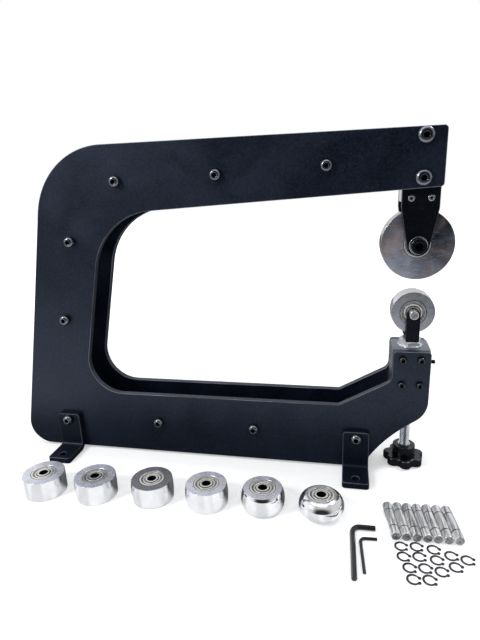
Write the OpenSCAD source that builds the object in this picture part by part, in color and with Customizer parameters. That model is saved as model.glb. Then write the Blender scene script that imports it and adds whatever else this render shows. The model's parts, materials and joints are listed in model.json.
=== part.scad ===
// Bench-mounted english wheel: a two-plate C frame, an upper wheel in a fork, a lower anvil
// on a screw-driven ram, four bench brackets, and the loose set of anvils, pins, circlips
// and hex keys that belongs with it.
// X runs along the frame from heel to heads, Y across it, Z up. The origin lies on the bench
// in the middle of the four bench bolt holes.

/* [Frame] */
// Length of the frame from its heel to the faces of its heads
frame_l = 550; // [520:1:640]
// Height of the side plates
frame_h = 404; // [394:1:480]
// Thickness of each side plate
plate_t = 8; // [5:0.5:12]
// Space between the two side plates
plate_gap = 40; // [38:1:50]
// Height of the side plates' lower edge above the bench
base_gap = 3; // [1:0.5:10]
// Height of the lower rail
rail_h = 84; // [70:1:100]
// Width of the column, measured along the frame
column_w = 85; // [65:1:110]
// Lean of the column from upright, in degrees
column_lean = 12; // [4:1:16]
// Height of the upper head at its front
head_h = 61; // [57:1:80]
// Slope of the upper arm's lower edge, in degrees
arm_slope = 3; // [0:0.5:6]
// Height of the lower head above the plates' lower edge
lower_head_h = 157; // [150:1:160]
// Width of both heads along the frame
head_w = 43; // [41:1:60]
// Distance from the front of the heads to the foot of the slope behind the lower head
slope_foot = 105; // [95:1:140]
// Slope behind the lower head, in degrees
slope_angle = 29.5; // [20:0.5:35]

/* [Frame curves] */
// Radius of the lower rear corner
heel_r = 30; // [10:1:60]
// Radius of the upper rear corner
shoulder_r = 96; // [60:1:120]
// Radius of the throat's upper corner
throat_top_r = 86; // [40:1:110]
// Radius of the throat's lower corner
throat_bottom_r = 44; // [20:1:60]
// Radius at the foot of the slope
slope_foot_r = 8; // [2:1:30]
// Radius between the slope and the lower head
neck_r = 12; // [4:1:20]
// Radius of the small corners of both heads
head_corner_r = 4; // [1:0.5:8]
// Radius of the lower head's front lower corner
chin_r = 31; // [10:1:36]
// Height of the chin's corner above the plates' lower edge
chin_h = 78; // [72:1:100]
// Rise of the underside just behind the chin, in degrees
chin_rise = 36; // [30:1:42]
// Rise of the underside where it meets the lower edge, in degrees
underside_rise = 60; // [54:1:66]
// Distance from the front of the heads to the end of the lower edge
underside_end = 75; // [68:1:80]
// Radius of the hollow underside
underside_r = 180; // [80:5:200]

/* [Upper wheel and fork] */
// Diameter of the upper wheel
upper_wheel_d = 80; // [60:1:82]
// Width of the upper wheel
upper_wheel_w = 25; // [22:0.5:27]
// Drop of the upper axle below the upper head
fork_drop = 63; // [61:1:80]
// Width of the fork plates along the frame
fork_w = 40; // [34:1:40]
// Thickness of each fork plate
fork_t = 6; // [4:0.5:7]
// Radius of the fork plates' lower ends
fork_end_r = 12; // [10:0.5:16]
// Distance from the upper axle up to where the fork plates start to narrow
fork_taper_h = 40; // [30:1:44]
// Drop of the fork block below the upper head
fork_block_drop = 16; // [12:0.5:18]
// Diameter of the upper axle and of the head bolts
axle_d = 10; // [10:0.5:10]
// Height of the head bolts above the upper head's lower edge and below its top edge
head_bolt_inset = 9.5; // [9.2:0.1:12]

/* [Anvils] */
// Diameter of the anvils
anvil_d = 50; // [44:1:52]
// Width of the anvils
anvil_w = 25; // [22:0.5:27]
// Crown radius of the mounted anvil
mounted_crown_r = 150; // [60:10:300]
// Crown radius of each spare anvil, where 0 is a flat tread
spare_crown_r = [0, 250, 100, 65, 28, 13.3];
// Diameter of the anvil pins
pin_d = 10; // [10:0.5:10]
// Length of the anvil pins
pin_l = 50; // [46:1:56]

/* [Bearings] */
// Outer diameter of the ball bearings
bearing_od = 30; // [28:1:31]
// Width of the ball bearings
bearing_w = 9; // [7:0.5:10]
// Wall of each bearing ring
ring_wall = 2.9; // [2.4:0.1:3.2]
// Depth of the ball tracks
track_depth = 0.3; // [0.2:0.05:0.5]
// Balls in each bearing
ball_count = 8; // [6:1:8]

/* [Ram and screw] */
// Diameter of the ram
ram_d = 16; // [14:0.5:18]
// Length of the ram below the yoke
ram_l = 48; // [44:1:50]
// Width of the yoke along the frame
yoke_w = 15; // [14:0.5:18]
// Thickness of the yoke's arms
yoke_arm_t = 5.5; // [4:0.5:6]
// Thickness of the yoke's base
yoke_base_t = 7; // [6.5:0.5:12]
// Height of the yoke's horns above the pin's centre
horn_h = 1.5; // [0:0.5:3]
// Room between the anvil and the yoke's base
yoke_room = 2; // [1:0.5:4]
// Height of the guide block
block_h = 56; // [54:1:60]
// Width across the flats of the guide bush's hexagon
bush_flats = 24; // [22:1:28]
// Height of the guide bush's hexagon
bush_hex_h = 6; // [4:0.5:10]
// Diameter of the guide bush's flange
bush_flange_d = 29; // [28:0.5:36]
// Thickness of the guide bush's flange
bush_flange_t = 3; // [2:0.5:5]
// Diameter of the guide bush's threaded barrel
bush_barrel_d = 20; // [19.5:0.5:22]
// Length of the guide bush's threaded barrel
bush_barrel_l = 10; // [8:0.5:11]
// Diameter of the lead screw
screw_d = 12; // [10:0.5:13]
// Diameter of the screw's tip inside the ram
tip_d = 8; // [6:0.5:8]
// Length of the screw's tip inside the ram
tip_l = 10; // [8:0.5:14]
// Length of the lead nut
nut_l = 14; // [10:0.5:14]
// Diameter of the guide screw whose tip runs in the ram's keyway
key_screw_d = 5; // [4:0.5:6]
// Distance that the guide screw stands out of the block
key_screw_out = 9; // [5:0.5:12]
// Height of the guide screw below the block's top
key_screw_drop = 21.5; // [20:0.5:24]

/* [Star knob] */
// Overall diameter of the star knob
knob_d = 50; // [44:1:56]
// Number of lobes
knob_lobes = 7; // [5:1:8]
// Radius of each lobe's tip
lobe_r = 6.8; // [5:0.2:8]
// Thickness of the lobed grip
knob_grip_h = 11; // [8:0.5:13]
// Diameter of the knob's hub
knob_hub_d = 27.5; // [24:0.5:30]
// Height of the hub above the grip
knob_hub_h = 13; // [8:0.5:14]
// Clearance under the knob with the ram fully down
knob_floor_gap = 0.5; // [0.5:0.5:4]

/* [Brackets] */
// Distance from the heel to the middle of the rear brackets
bracket_rear_x = 75; // [60:1:110]
// Distance between the rear and the front brackets
bracket_pitch = 392; // [360:1:394]
// Width of each bracket
bracket_w = 32; // [26:1:40]
// Thickness of the brackets
bracket_t = 8; // [5:0.5:9]
// Height of the brackets
bracket_h = 55; // [50:1:70]
// Length of the brackets' feet out from the side plate
bracket_foot = 45; // [40:1:60]
// Inner radius of the brackets' bend
bend_r = 4; // [2:0.5:8]
// Distance from the side plate to the bench bolt hole
bench_hole_out = 34; // [30:1:36]
// Diameter of the bench bolt holes
bench_hole_d = 9; // [7:0.5:11]

/* [Bolt spots] */
// Drop of each arm bolt below the frame's top, from the rear one to the front one
arm_bolt_drop = [43, 40, 35];
// Distance of each arm bolt from the column's foot line or, for the front one, behind the wheels
arm_bolt_x = [94, 218, 101];
// Height of the column bolts above the plates' lower edge
column_bolt_h = [187, 290];
// Distance of the column bolts in front of the column's middle
column_bolt_shift = 5; // [0:0.5:12]
// Distance of the rail bolts in front of the rear brackets' bolts
rail_bolt_x = [131, 262];
// Depth of the guide block's upper screws below its top
block_screw_drop = 10; // [9:0.5:14]
// Distance between the guide block's upper and lower screws
block_screw_pitch = 31.5; // [26:0.5:34]

/* [Fasteners] */
// Diameter of the frame and bracket bolts
frame_bolt_d = 6; // [5:0.5:8]
// Height of the lower row of frame bolts above the bench
low_bolt_z = 47; // [42:0.5:49]
// Diameter of the spacers between the side plates
spacer_d = 20; // [14:1:26]
// Diameter of the guide block's screws
block_screw_d = 5; // [4:0.5:6]
// Diameter of the fork's screws
fork_screw_d = 4; // [3:0.5:4]
// Distance of the fork's and the block's screws from the wheels' centre line
side_screw_x = 10.3; // [9:0.1:11]

/* [Loose kit] */
// Number of loose anvil pins
spare_pin_count = 7; // [2:1:7]
// Distance between the loose pins
spare_pin_pitch = 10.3; // [10.2:0.1:11]
// Width across the flats of the large hex key
large_key_flats = 5; // [4:0.5:6]
// Length of the large hex key's long arm
large_key_l = 72; // [60:1:90]
// Length of the large hex key's short arm
large_key_short = 24; // [18:1:30]
// Width across the flats of the small hex key
small_key_flats = 3; // [2:0.5:4]
// Length of the small hex key's long arm
small_key_l = 47; // [40:1:60]
// Length of the small hex key's short arm
small_key_short = 17; // [14:1:22]

/* [Hidden] */
$fn = 96;
eps = 0.01;

// Clearances
run_gap = 0.05;      // radial gap of a running or sliding fit
hole_gap = 0.2;      // radial gap of a bolt in its hole
side_gap = 0.3;      // gap between faces that pass or rest on each other
seat_gap = 0.1;      // radial gap between the pin and the yoke's seats
flush_gap = 0.1;     // end gap between a circlip and the bearing beside it

// Places along X, measured from the heel
heads_x = frame_l - head_w / 2;
origin_x = bracket_rear_x + bracket_pitch / 2;
bracket_x = [bracket_rear_x, bracket_rear_x + bracket_pitch];

// Heights above the bench
frame_top = base_gap + frame_h;
head_low = frame_top - head_h;
upper_axle_z = head_low - fork_drop;
block_top = base_gap + lower_head_h;
bush_top = block_top + bush_flange_t + bush_hex_h;
yoke_low = bush_top + side_gap;
anvil_z = yoke_low + yoke_base_t + yoke_room + anvil_d / 2;
ram_low = yoke_low - ram_l;
washer_t = 1.5;
shoulder_z = ram_low - washer_t;
block_low = block_top - block_h;
knob_low = knob_floor_gap;
knob_top = knob_low + knob_grip_h + knob_hub_h;

// Places across Y
plate_out = plate_gap / 2 + plate_t;
fork_in = plate_gap / 2 - fork_t;
bracket_out = plate_out + bracket_t;
circlip_t = 1;
circlip_y = anvil_w / 2 + flush_gap;
yoke_in = circlip_y + circlip_t + 2 * side_gap;
yoke_out = yoke_in + yoke_arm_t;

// Bearing sizes that follow from the pin and the outer ring
track_pitch_r = (bearing_od + pin_d) / 4;
ball_gap = 0.1;
ball_r = (bearing_od - pin_d) / 4 - ring_wall + track_depth - ball_gap;
shield_t = 0.5;
shield_in = 0.3;

// Middle of each frame bolt, from the heel and above the bench
lean = tan(column_lean);
arm_bolts = [
    [column_w + arm_bolt_x[0], frame_top - arm_bolt_drop[0]],
    [column_w + arm_bolt_x[1], frame_top - arm_bolt_drop[1]],
    [heads_x - arm_bolt_x[2], frame_top - arm_bolt_drop[2]]
];
column_bolts = [for (h = column_bolt_h)
    [column_w / 2 + lean * h + column_bolt_shift, base_gap + h]];
rail_bolts = [for (x = rail_bolt_x) [bracket_x[0] + x, low_bolt_z]];
plain_bolts = concat(arm_bolts, column_bolts, rail_bolts);
bracket_spots = [for (x = bracket_x) [x, low_bolt_z]];

// Middle of the screws of the guide block, the fork and the head
block_screw_z = [block_top - block_screw_drop,
    block_top - block_screw_drop - block_screw_pitch];
fork_screw_z = head_low - 11.5;
head_bolt_z = [head_low + head_bolt_inset, frame_top - head_bolt_inset + 0.5];

// Heads of the fasteners, each as diameter, height and socket width
frame_head = [10.5, 6, 5];
block_head = [8.5, 5, 4];
fork_head = [7, 3.5, 3];
head_bolt_head = [17.5, 5.5, 6];
axle_head = [17, 8, 8];

black = "#1b1d22";
steel = "#9a9ca3";
bright = "#c9ccd2";
shield = "#b9b29a";

// Loose pieces on the bench, as the middle of each one
spare_anvil_spots = [[-179, -130], [-112, -127], [-41, -122], [26, -122], [92, -120], [158, -123]];
spare_circlip_spots = [
    [239.5, -162], [254.5, -160.4], [270.5, -162], [286, -168], [300.5, -171.5],
    [240.5, -176], [255.5, -174], [271.5, -176], [287.5, -182.5], [273.5, -190.5],
    [244.5, -190], [259, -188.5], [246.5, -204], [261, -202.5]
];
spare_pin_spot = [232.5, -129];
large_key_spot = [191.5, -142.5];
small_key_spot = [199.5, -158];

// Outline with a radius at each corner, given as [x, y, radius]. A convex corner is cut back
// to its disc. A hollow corner starts as a straight cut between the ends of its arc, and is
// then cleared by its disc. The discs are a hair off size, so that they cross the straight
// edges and don't just touch them.
module rounded_outline(corners) {
    n = len(corners);
    function at(i) = let (c = corners[(i + n) % n]) [c[0], c[1]];
    function way(i, j) = (at(j) - at(i)) / norm(at(j) - at(i));
    function hollow(i) = cross(way(i - 1, i), way(i, i + 1)) < 0;
    function half(i) = acos(way(i, i - 1) * way(i, i + 1)) / 2;
    function middle(i) = at(i)
        + (way(i, i - 1) + way(i, i + 1)) / norm(way(i, i - 1) + way(i, i + 1))
        * corners[i][2] / sin(half(i));
    function touch(i, j) = at(i) + corners[i][2] / tan(half(i)) * way(i, j);
    // Point on the ray from the disc's middle through p, at a share of the way to it
    function along(i, p, share) = middle(i) + share * (p - middle(i));
    difference() {
        polygon([for (i = [0:n - 1])
            each hollow(i) ? [touch(i, i - 1), touch(i, i + 1)] : [at(i)]]);
        for (i = [0:n - 1]) {
            if (hollow(i)) intersection() {
                translate(middle(i)) circle(r = corners[i][2] * 0.9995);
                polygon([along(i, touch(i, i - 1), 0.8), along(i, touch(i, i - 1), 1.4),
                    along(i, at(i), 1.4), along(i, touch(i, i + 1), 1.4),
                    along(i, touch(i, i + 1), 0.8)]);
            } else difference() {
                polygon([middle(i), along(i, touch(i, i - 1), 1.4), along(i, at(i), 1.4),
                    along(i, touch(i, i + 1), 1.4)]);
                translate(middle(i)) circle(r = corners[i][2] * 1.0005);
            }
        }
    }
}

// Side plate seen from the front, from the heel and the lower edge
module plate_outline() {
    throat_low = rail_h;
    rise = tan(arm_slope);
    head_edge = frame_h - head_h;
    // Throat's upper corner, where the column meets the arm's lower edge
    throat_top = (head_edge - rise * (frame_l - column_w)) / (1 - rise * lean);
    slope_x = frame_l - slope_foot;
    neck_x = frame_l - head_w;
    neck_z = throat_low + tan(slope_angle) * (neck_x - slope_x);
    end_x = frame_l - underside_end;
    // Corner of the underside, where the chin's line meets the steep one
    turn_x = (chin_h - tan(chin_rise) * frame_l + tan(underside_rise) * end_x)
        / (tan(underside_rise) - tan(chin_rise));
    turn_z = tan(underside_rise) * (turn_x - end_x);
    // The underside's radius is limited by the two lines that it joins
    reach = (frame_l - turn_x) / cos(chin_rise)
        - chin_r * tan((90 - chin_rise) / 2) - 2;
    hollow = min(underside_r, reach / tan((underside_rise - chin_rise) / 2),
        (turn_z / sin(underside_rise) - 4) / tan((underside_rise - chin_rise) / 2));
    rounded_outline([
        [0, 0, heel_r],
        [end_x, 0, 3],
        [turn_x, turn_z, hollow],
        [frame_l, chin_h, chin_r],
        [frame_l, lower_head_h, head_corner_r],
        [neck_x, lower_head_h, head_corner_r],
        [neck_x, neck_z, neck_r],
        [slope_x, throat_low, slope_foot_r],
        [column_w + lean * throat_low, throat_low, throat_bottom_r],
        [column_w + lean * throat_top, throat_top, throat_top_r],
        [frame_l, head_edge, head_corner_r],
        [frame_l, frame_h, head_corner_r],
        [lean * frame_h, frame_h, shoulder_r]
    ]);
}

// A hole or pin along Y through [x, z], from y0 to y1
module along_y(spot, d, y0, y1) {
    translate([spot[0] - origin_x, y1, spot[1]]) rotate([90, 0, 0])
        cylinder(d = d, h = y1 - y0);
}

module side_plate(side) {
    y0 = side < 0 ? -plate_out : plate_gap / 2;
    color(black) difference() {
        translate([-origin_x, y0 + plate_t, base_gap]) rotate([90, 0, 0])
            linear_extrude(plate_t) plate_outline();
        for (p = concat(plain_bolts, bracket_spots))
            along_y(p, frame_bolt_d + 2 * hole_gap, y0 - 1, y0 + plate_t + 1);
        for (z = head_bolt_z)
            along_y([heads_x, z], axle_d + 2 * hole_gap, y0 - 1, y0 + plate_t + 1);
        for (x = [-1, 1], z = block_screw_z)
            along_y([heads_x + x * side_screw_x, z], block_screw_d + 2 * hole_gap,
                y0 - 1, y0 + plate_t + 1);
    }
}
module side_plate_front() side_plate(-1);
module side_plate_rear() side_plate(1);

// Socket screw on the front (side -1) or rear (side 1), its head seated at seat_y
module socket_screw(spot, side, seat_y, shank_d, shank_l, head) {
    translate([spot[0] - origin_x, side * seat_y, spot[1]]) rotate([side * 90, 0, 0]) {
        cylinder(d = shank_d, h = shank_l);
        translate([0, 0, -head[1]]) difference() {
            union() {
                translate([0, 0, 1]) cylinder(d = head[0], h = head[1] - 1);
                cylinder(d1 = head[0] - 2, d2 = head[0], h = 1);
            }
            translate([0, 0, -eps]) cylinder(d = head[2] / cos(30), h = head[1] / 2, $fn = 6);
        }
    }
}

module frame_spacers() color(black) for (p = concat(plain_bolts, bracket_spots)) difference() {
    along_y(p, spacer_d, -plate_gap / 2, plate_gap / 2);
    along_y(p, frame_bolt_d + 2 * run_gap, -plate_gap / 2 - 1, plate_gap / 2 + 1);
}

spacer_grip = 15;

module frame_bolts() color(black) for (p = plain_bolts, side = [-1, 1])
    socket_screw(p, side, plate_out, frame_bolt_d, plate_t + spacer_grip, frame_head);

module bracket_bolts() color(black) for (p = bracket_spots, side = [-1, 1])
    socket_screw(p, side, bracket_out, frame_bolt_d,
        bracket_t + plate_t + spacer_grip, frame_head);

// Bent bracket on the front (side -1) or rear (side 1), its middle at x from the heel
module bracket(x, side) {
    outer_r = bend_r + bracket_t;
    corner_r = 4;
    translate([x - origin_x, 0, 0]) mirror([0, side > 0 ? 1 : 0, 0]) color(black) difference() {
        translate([bracket_w / 2, -plate_out, 0]) rotate([90, 0, -90])
            linear_extrude(bracket_w) {
                translate([0, outer_r]) square([bracket_t, bracket_h - outer_r]);
                translate([outer_r, 0]) square([bracket_foot - outer_r, bracket_t]);
                translate([outer_r, outer_r]) difference() {
                    intersection() {
                        circle(r = outer_r);
                        translate([-outer_r, -outer_r]) square(outer_r);
                    }
                    circle(r = bend_r);
                }
            }
        // Rounded corners of the upright leg and of the foot
        for (s = [-1, 1]) {
            translate([s * (bracket_w / 2 - corner_r), 0, bracket_h - corner_r]) difference() {
                translate([s > 0 ? 0 : -corner_r - 1, -bracket_out - 1, 0])
                    cube([corner_r + 1, bracket_t + 2, corner_r + 1]);
                translate([0, -plate_out + 2, 0]) rotate([90, 0, 0])
                    cylinder(r = corner_r, h = bracket_t + 4);
            }
            translate([s * (bracket_w / 2 - corner_r), -plate_out - bracket_foot + corner_r, 0])
                difference() {
                    translate([s > 0 ? 0 : -corner_r - 1, -corner_r - 1, -1])
                        cube([corner_r + 1, corner_r + 1, bracket_t + 2]);
                    translate([0, 0, -2]) cylinder(r = corner_r, h = bracket_t + 4);
                }
        }
        translate([0, -plate_out + 1, low_bolt_z]) rotate([90, 0, 0])
            cylinder(d = frame_bolt_d + 2 * hole_gap, h = bracket_t + 2);
        translate([0, -plate_out - bench_hole_out, -1])
            cylinder(d = bench_hole_d, h = bracket_t + 2);
    }
}
module bracket_front_left() bracket(bracket_x[0], -1);
module bracket_front_right() bracket(bracket_x[1], -1);
module bracket_rear_left() bracket(bracket_x[0], 1);
module bracket_rear_right() bracket(bracket_x[1], 1);

// Fork plate: a straight top between the side plates, narrowing to a round end at the axle
module fork_plate(side) {
    y0 = side < 0 ? -plate_gap / 2 : fork_in;
    top = frame_top - 2 - upper_axle_z;
    // The sides run as tangents from the top's corners to the round end
    reach = norm([fork_w / 2, fork_taper_h]);
    swing = atan(fork_taper_h / (fork_w / 2)) - acos(fork_end_r / reach);
    touch = fork_end_r * [cos(swing), sin(swing)];
    color(black) difference() {
        translate([heads_x - origin_x, y0 + fork_t, upper_axle_z]) rotate([90, 0, 0])
            linear_extrude(fork_t) {
                circle(r = fork_end_r);
                polygon([touch, [fork_w / 2, fork_taper_h], [fork_w / 2, top],
                    [-fork_w / 2, top], [-fork_w / 2, fork_taper_h], [-touch[0], touch[1]]]);
            }
        along_y([heads_x, upper_axle_z], axle_d + 2 * run_gap, y0 - 1, y0 + fork_t + 1);
        for (z = head_bolt_z)
            along_y([heads_x, z], axle_d + 2 * hole_gap, y0 - 1, y0 + fork_t + 1);
        for (x = [-1, 1])
            along_y([heads_x + x * side_screw_x, fork_screw_z], fork_screw_d + 2 * hole_gap,
                y0 - 1, y0 + fork_t + 1);
    }
}
module fork_plate_front() fork_plate(-1);
module fork_plate_rear() fork_plate(1);

fork_screw_l = fork_t + 8;

module fork_block() color(bright) difference() {
    low = head_low - fork_block_drop;
    translate([heads_x - fork_w / 2 - origin_x, -fork_in, low])
        cube([fork_w, 2 * fork_in, frame_top - 2 - low]);
    for (z = head_bolt_z)
        along_y([heads_x, z], axle_d + 2 * hole_gap, -fork_in - 1, fork_in + 1);
    for (x = [-1, 1], side = [-1, 1]) {
        y = side * (plate_gap / 2 - fork_screw_l - 1);
        along_y([heads_x + x * side_screw_x, fork_screw_z], fork_screw_d + 2 * run_gap,
            min(y, side * (fork_in + 1)), max(y, side * (fork_in + 1)));
    }
}

module fork_screws() color(steel) for (x = [-1, 1], side = [-1, 1])
    socket_screw([heads_x + x * side_screw_x, fork_screw_z], side, plate_gap / 2,
        fork_screw_d, fork_screw_l, fork_head);

washer_d = 20;
bolt_nut_h = 8;
bolt_nut_flats = 16;

module hex_nut(spot, y0) {
    difference() {
        translate([spot[0] - origin_x, y0 + bolt_nut_h, spot[1]]) rotate([90, 0, 0])
            cylinder(d = bolt_nut_flats / cos(30), h = bolt_nut_h, $fn = 6);
        along_y(spot, axle_d + 2 * run_gap, y0 - 1, y0 + bolt_nut_h + 1);
    }
}

module head_bolts() color(black) for (z = head_bolt_z)
    socket_screw([heads_x, z], -1, plate_out, axle_d,
        2 * plate_out + bolt_nut_h + 2, head_bolt_head);

module head_nuts() color(steel) for (z = head_bolt_z) hex_nut([heads_x, z], plate_out);

module upper_axle() color(black)
    socket_screw([heads_x, upper_axle_z], -1, plate_gap / 2 + washer_t, axle_d,
        plate_gap + 2 * washer_t + bolt_nut_h + 2, axle_head);

module upper_axle_nut() color(steel)
    hex_nut([heads_x, upper_axle_z], plate_gap / 2 + washer_t);

module axle_ring(d, y0, y1) {
    difference() {
        along_y([heads_x, upper_axle_z], d, y0, y1);
        along_y([heads_x, upper_axle_z], axle_d + 2 * run_gap, y0 - 1, y1 + 1);
    }
}

module upper_axle_washers() color(bright) {
    axle_ring(washer_d, -plate_gap / 2 - washer_t, -plate_gap / 2);
    axle_ring(washer_d, plate_gap / 2, plate_gap / 2 + washer_t);
}

module upper_axle_spacers() color(bright) {
    axle_ring(pin_d + 2 * ring_wall - 1, -fork_in, -upper_wheel_w / 2);
    axle_ring(pin_d + 2 * ring_wall - 1, upper_wheel_w / 2, fork_in);
}

// Outer ring of a ball bearing with its two shields, standing on Z = 0
module outer_ring() rotate_extrude() {
    inside = bearing_od / 2 - ring_wall;
    difference() {
        translate([inside, 0]) square([ring_wall - run_gap, bearing_w]);
        translate([track_pitch_r, bearing_w / 2]) circle(r = ball_r + ball_gap);
    }
    for (z = [shield_in, bearing_w - shield_in - shield_t])
        translate([pin_d / 2 + ring_wall + side_gap, z])
            square([inside - pin_d / 2 - ring_wall - side_gap + 0.2, shield_t]);
}

// Inner ring of a ball bearing, standing on Z = 0
module inner_ring() rotate_extrude() difference() {
    translate([pin_d / 2 + run_gap, 0]) square([ring_wall - run_gap, bearing_w]);
    translate([track_pitch_r, bearing_w / 2]) circle(r = ball_r + ball_gap);
}

module ring_of_balls() for (i = [0:ball_count - 1]) rotate(360 * i / ball_count)
    translate([track_pitch_r, 0, bearing_w / 2]) sphere(r = ball_r, $fn = 48);

// Puts a copy of the children at each end of a wheel of width w that is centred on Z = 0
module both_ends(w) for (z = [-w / 2, w / 2 - bearing_w]) translate([0, 0, z]) children();

// A wheel centred on Z = 0, with a bearing seat at each end. A crown radius of 0 is flat.
module wheel_body(d, w, crown_r) {
    seat_r = bearing_od / 2;
    land_r = seat_r - 2;
    edge = 0.5;
    difference() {
        rotate_extrude() intersection() {
            polygon([[land_r, -w / 2], [d / 2 - edge, -w / 2], [d / 2, -w / 2 + edge],
                [d / 2, w / 2 - edge], [d / 2 - edge, w / 2], [land_r, w / 2]]);
            if (crown_r > 0)
                translate([d / 2 - crown_r, 0]) circle(r = crown_r, $fn = crown_r > 90 ? 720 : 192);
            else
                translate([0, -w / 2]) square([d / 2, w]);
        }
        for (z = [-w / 2 - 1, w / 2 - bearing_w])
            translate([0, 0, z]) cylinder(r = seat_r, h = bearing_w + 1);
    }
}

module on_axle(z) translate([heads_x - origin_x, 0, z]) rotate([90, 0, 0]) children();

module upper_wheel() color(steel) on_axle(upper_axle_z)
    wheel_body(upper_wheel_d, upper_wheel_w, 0);
module upper_outer_rings() color(shield) on_axle(upper_axle_z)
    both_ends(upper_wheel_w) outer_ring();
module upper_inner_rings() color(bright) on_axle(upper_axle_z)
    both_ends(upper_wheel_w) inner_ring();
module upper_balls() color(bright) on_axle(upper_axle_z)
    both_ends(upper_wheel_w) ring_of_balls();

module anvil() color(steel) on_axle(anvil_z) wheel_body(anvil_d, anvil_w, mounted_crown_r);
module anvil_outer_rings() color(shield) on_axle(anvil_z) both_ends(anvil_w) outer_ring();
module anvil_inner_rings() color(bright) on_axle(anvil_z) both_ends(anvil_w) inner_ring();
module anvil_balls() color(bright) on_axle(anvil_z) both_ends(anvil_w) ring_of_balls();

// Anvil pin along Z, centred on Z = 0, with a groove for a circlip outside each bearing
groove_depth = 0.3;
module pin_body() difference() {
    union() {
        cylinder(d = pin_d, h = pin_l - 1, center = true);
        for (m = [0, 1]) mirror([0, 0, m]) translate([0, 0, pin_l / 2 - 0.5])
            cylinder(d1 = pin_d, d2 = pin_d - 1, h = 0.5);
    }
    for (m = [0, 1]) mirror([0, 0, m]) translate([0, 0, circlip_y - 0.05]) difference() {
        cylinder(d = pin_d + 1, h = circlip_t + 0.1);
        translate([0, 0, -1]) cylinder(d = pin_d - 2 * groove_depth, h = circlip_t + 3);
    }
}

// Circlip flat on Z = 0, its gap towards +X, a pierced lug at each side of the gap
module circlip_body() linear_extrude(circlip_t) {
    inner_r = pin_d / 2 - groove_depth + run_gap;
    outer_r = inner_r + 1.6;
    lug_spot = (inner_r + outer_r) / 2 + 0.4;
    gap_angle = 26;
    difference() {
        union() {
            difference() {
                translate([-0.3, 0]) circle(r = outer_r);
                circle(r = inner_r);
                polygon([[0, 0], 12 * [cos(gap_angle), sin(gap_angle)],
                    12 * [cos(gap_angle), -sin(gap_angle)]]);
            }
            for (s = [-1, 1]) translate(lug_spot * [cos(gap_angle + 4), s * sin(gap_angle + 4)])
                circle(r = 1.3);
        }
        for (s = [-1, 1]) translate(lug_spot * [cos(gap_angle + 4), s * sin(gap_angle + 4)])
            circle(r = 0.6);
        circle(r = inner_r);
    }
}

module anvil_pin() color(bright) on_axle(anvil_z) pin_body();
module anvil_circlips() color(black) on_axle(anvil_z) for (m = [0, 1]) mirror([0, 0, m])
    translate([0, 0, circlip_y]) rotate(90) circlip_body();

module guide_block() color(steel) difference() {
    translate([heads_x - head_w / 2 - origin_x, -plate_gap / 2, block_low])
        cube([head_w, plate_gap, block_h]);
    translate([heads_x - origin_x, 0, 0]) {
        translate([0, 0, block_low + nut_l])
            cylinder(d = ram_d + 2 * run_gap, h = block_h);
        translate([0, 0, block_low - 1])
            cylinder(d = nut_d + 2 * run_gap, h = nut_l + 1);
        translate([0, 0, block_top - bush_barrel_l - side_gap])
            cylinder(d = bush_barrel_d + 2 * run_gap, h = bush_barrel_l + side_gap + 1);
        translate([0, 0, block_top - key_screw_drop]) rotate([0, 90, 0])
            cylinder(d = key_screw_d + 2 * run_gap, h = head_w);
    }
    for (x = [-1, 1], z = block_screw_z, side = [-1, 1])
        along_y([heads_x + x * side_screw_x, z], block_screw_d + 2 * run_gap,
            side < 0 ? -plate_gap / 2 - 1 : plate_gap / 2 - block_screw_grip - 1,
            side < 0 ? -plate_gap / 2 + block_screw_grip + 1 : plate_gap / 2 + 1);
}

block_screw_grip = 7;
module block_screws() color(black)
    for (x = [-1, 1], z = block_screw_z, side = [-1, 1])
        socket_screw([heads_x + x * side_screw_x, z], side, plate_out, block_screw_d,
            plate_t + block_screw_grip, block_head);

// Flanged hexagon bush that guides the ram
module guide_bush() color(bright) translate([heads_x - origin_x, 0, block_top]) difference() {
    union() {
        translate([0, 0, -bush_barrel_l]) cylinder(d = bush_barrel_d, h = bush_barrel_l + 1);
        cylinder(d = bush_flange_d, h = bush_flange_t);
        intersection() {
            translate([0, 0, bush_flange_t - 0.5])
                cylinder(d = bush_flats / cos(30), h = bush_hex_h + 0.5, $fn = 6);
            translate([0, 0, bush_flange_t - 1])
                cylinder(r1 = bush_flats / 2 + bush_hex_h + 3.2, r2 = bush_flats / 2 + 0.2,
                    h = bush_hex_h + 1 + eps);
        }
    }
    translate([0, 0, -bush_barrel_l - 1])
        cylinder(d = ram_d + 2 * run_gap, h = bush_top - block_top + bush_barrel_l + 2);
}

keyway_depth = 2;
// Guide screw: its turned-down tip runs in the ram's keyway and keeps the yoke square
module guide_screw() color(black)
    translate([heads_x - origin_x, 0, block_top - key_screw_drop]) rotate([0, 90, 0]) {
        tip = ram_d / 2 - keyway_depth + side_gap;
        translate([0, 0, tip]) cylinder(d = key_screw_d - 1, h = 3);
        translate([0, 0, ram_d / 2 + 0.7]) difference() {
            cylinder(d = key_screw_d, h = head_w / 2 + key_screw_out - ram_d / 2 - 0.7);
            translate([0, 0, head_w / 2 + key_screw_out - ram_d / 2 - 3.2])
                cylinder(d = key_screw_d / 2 / cos(30), h = 5, $fn = 6);
        }
    }

nut_d = 18;
module lead_nut() color("#a8863e") translate([heads_x - origin_x, 0, block_low]) difference() {
    cylinder(d = nut_d, h = nut_l);
    translate([0, 0, -1]) cylinder(d = screw_d + 2 * run_gap, h = nut_l + 2);
}

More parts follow.
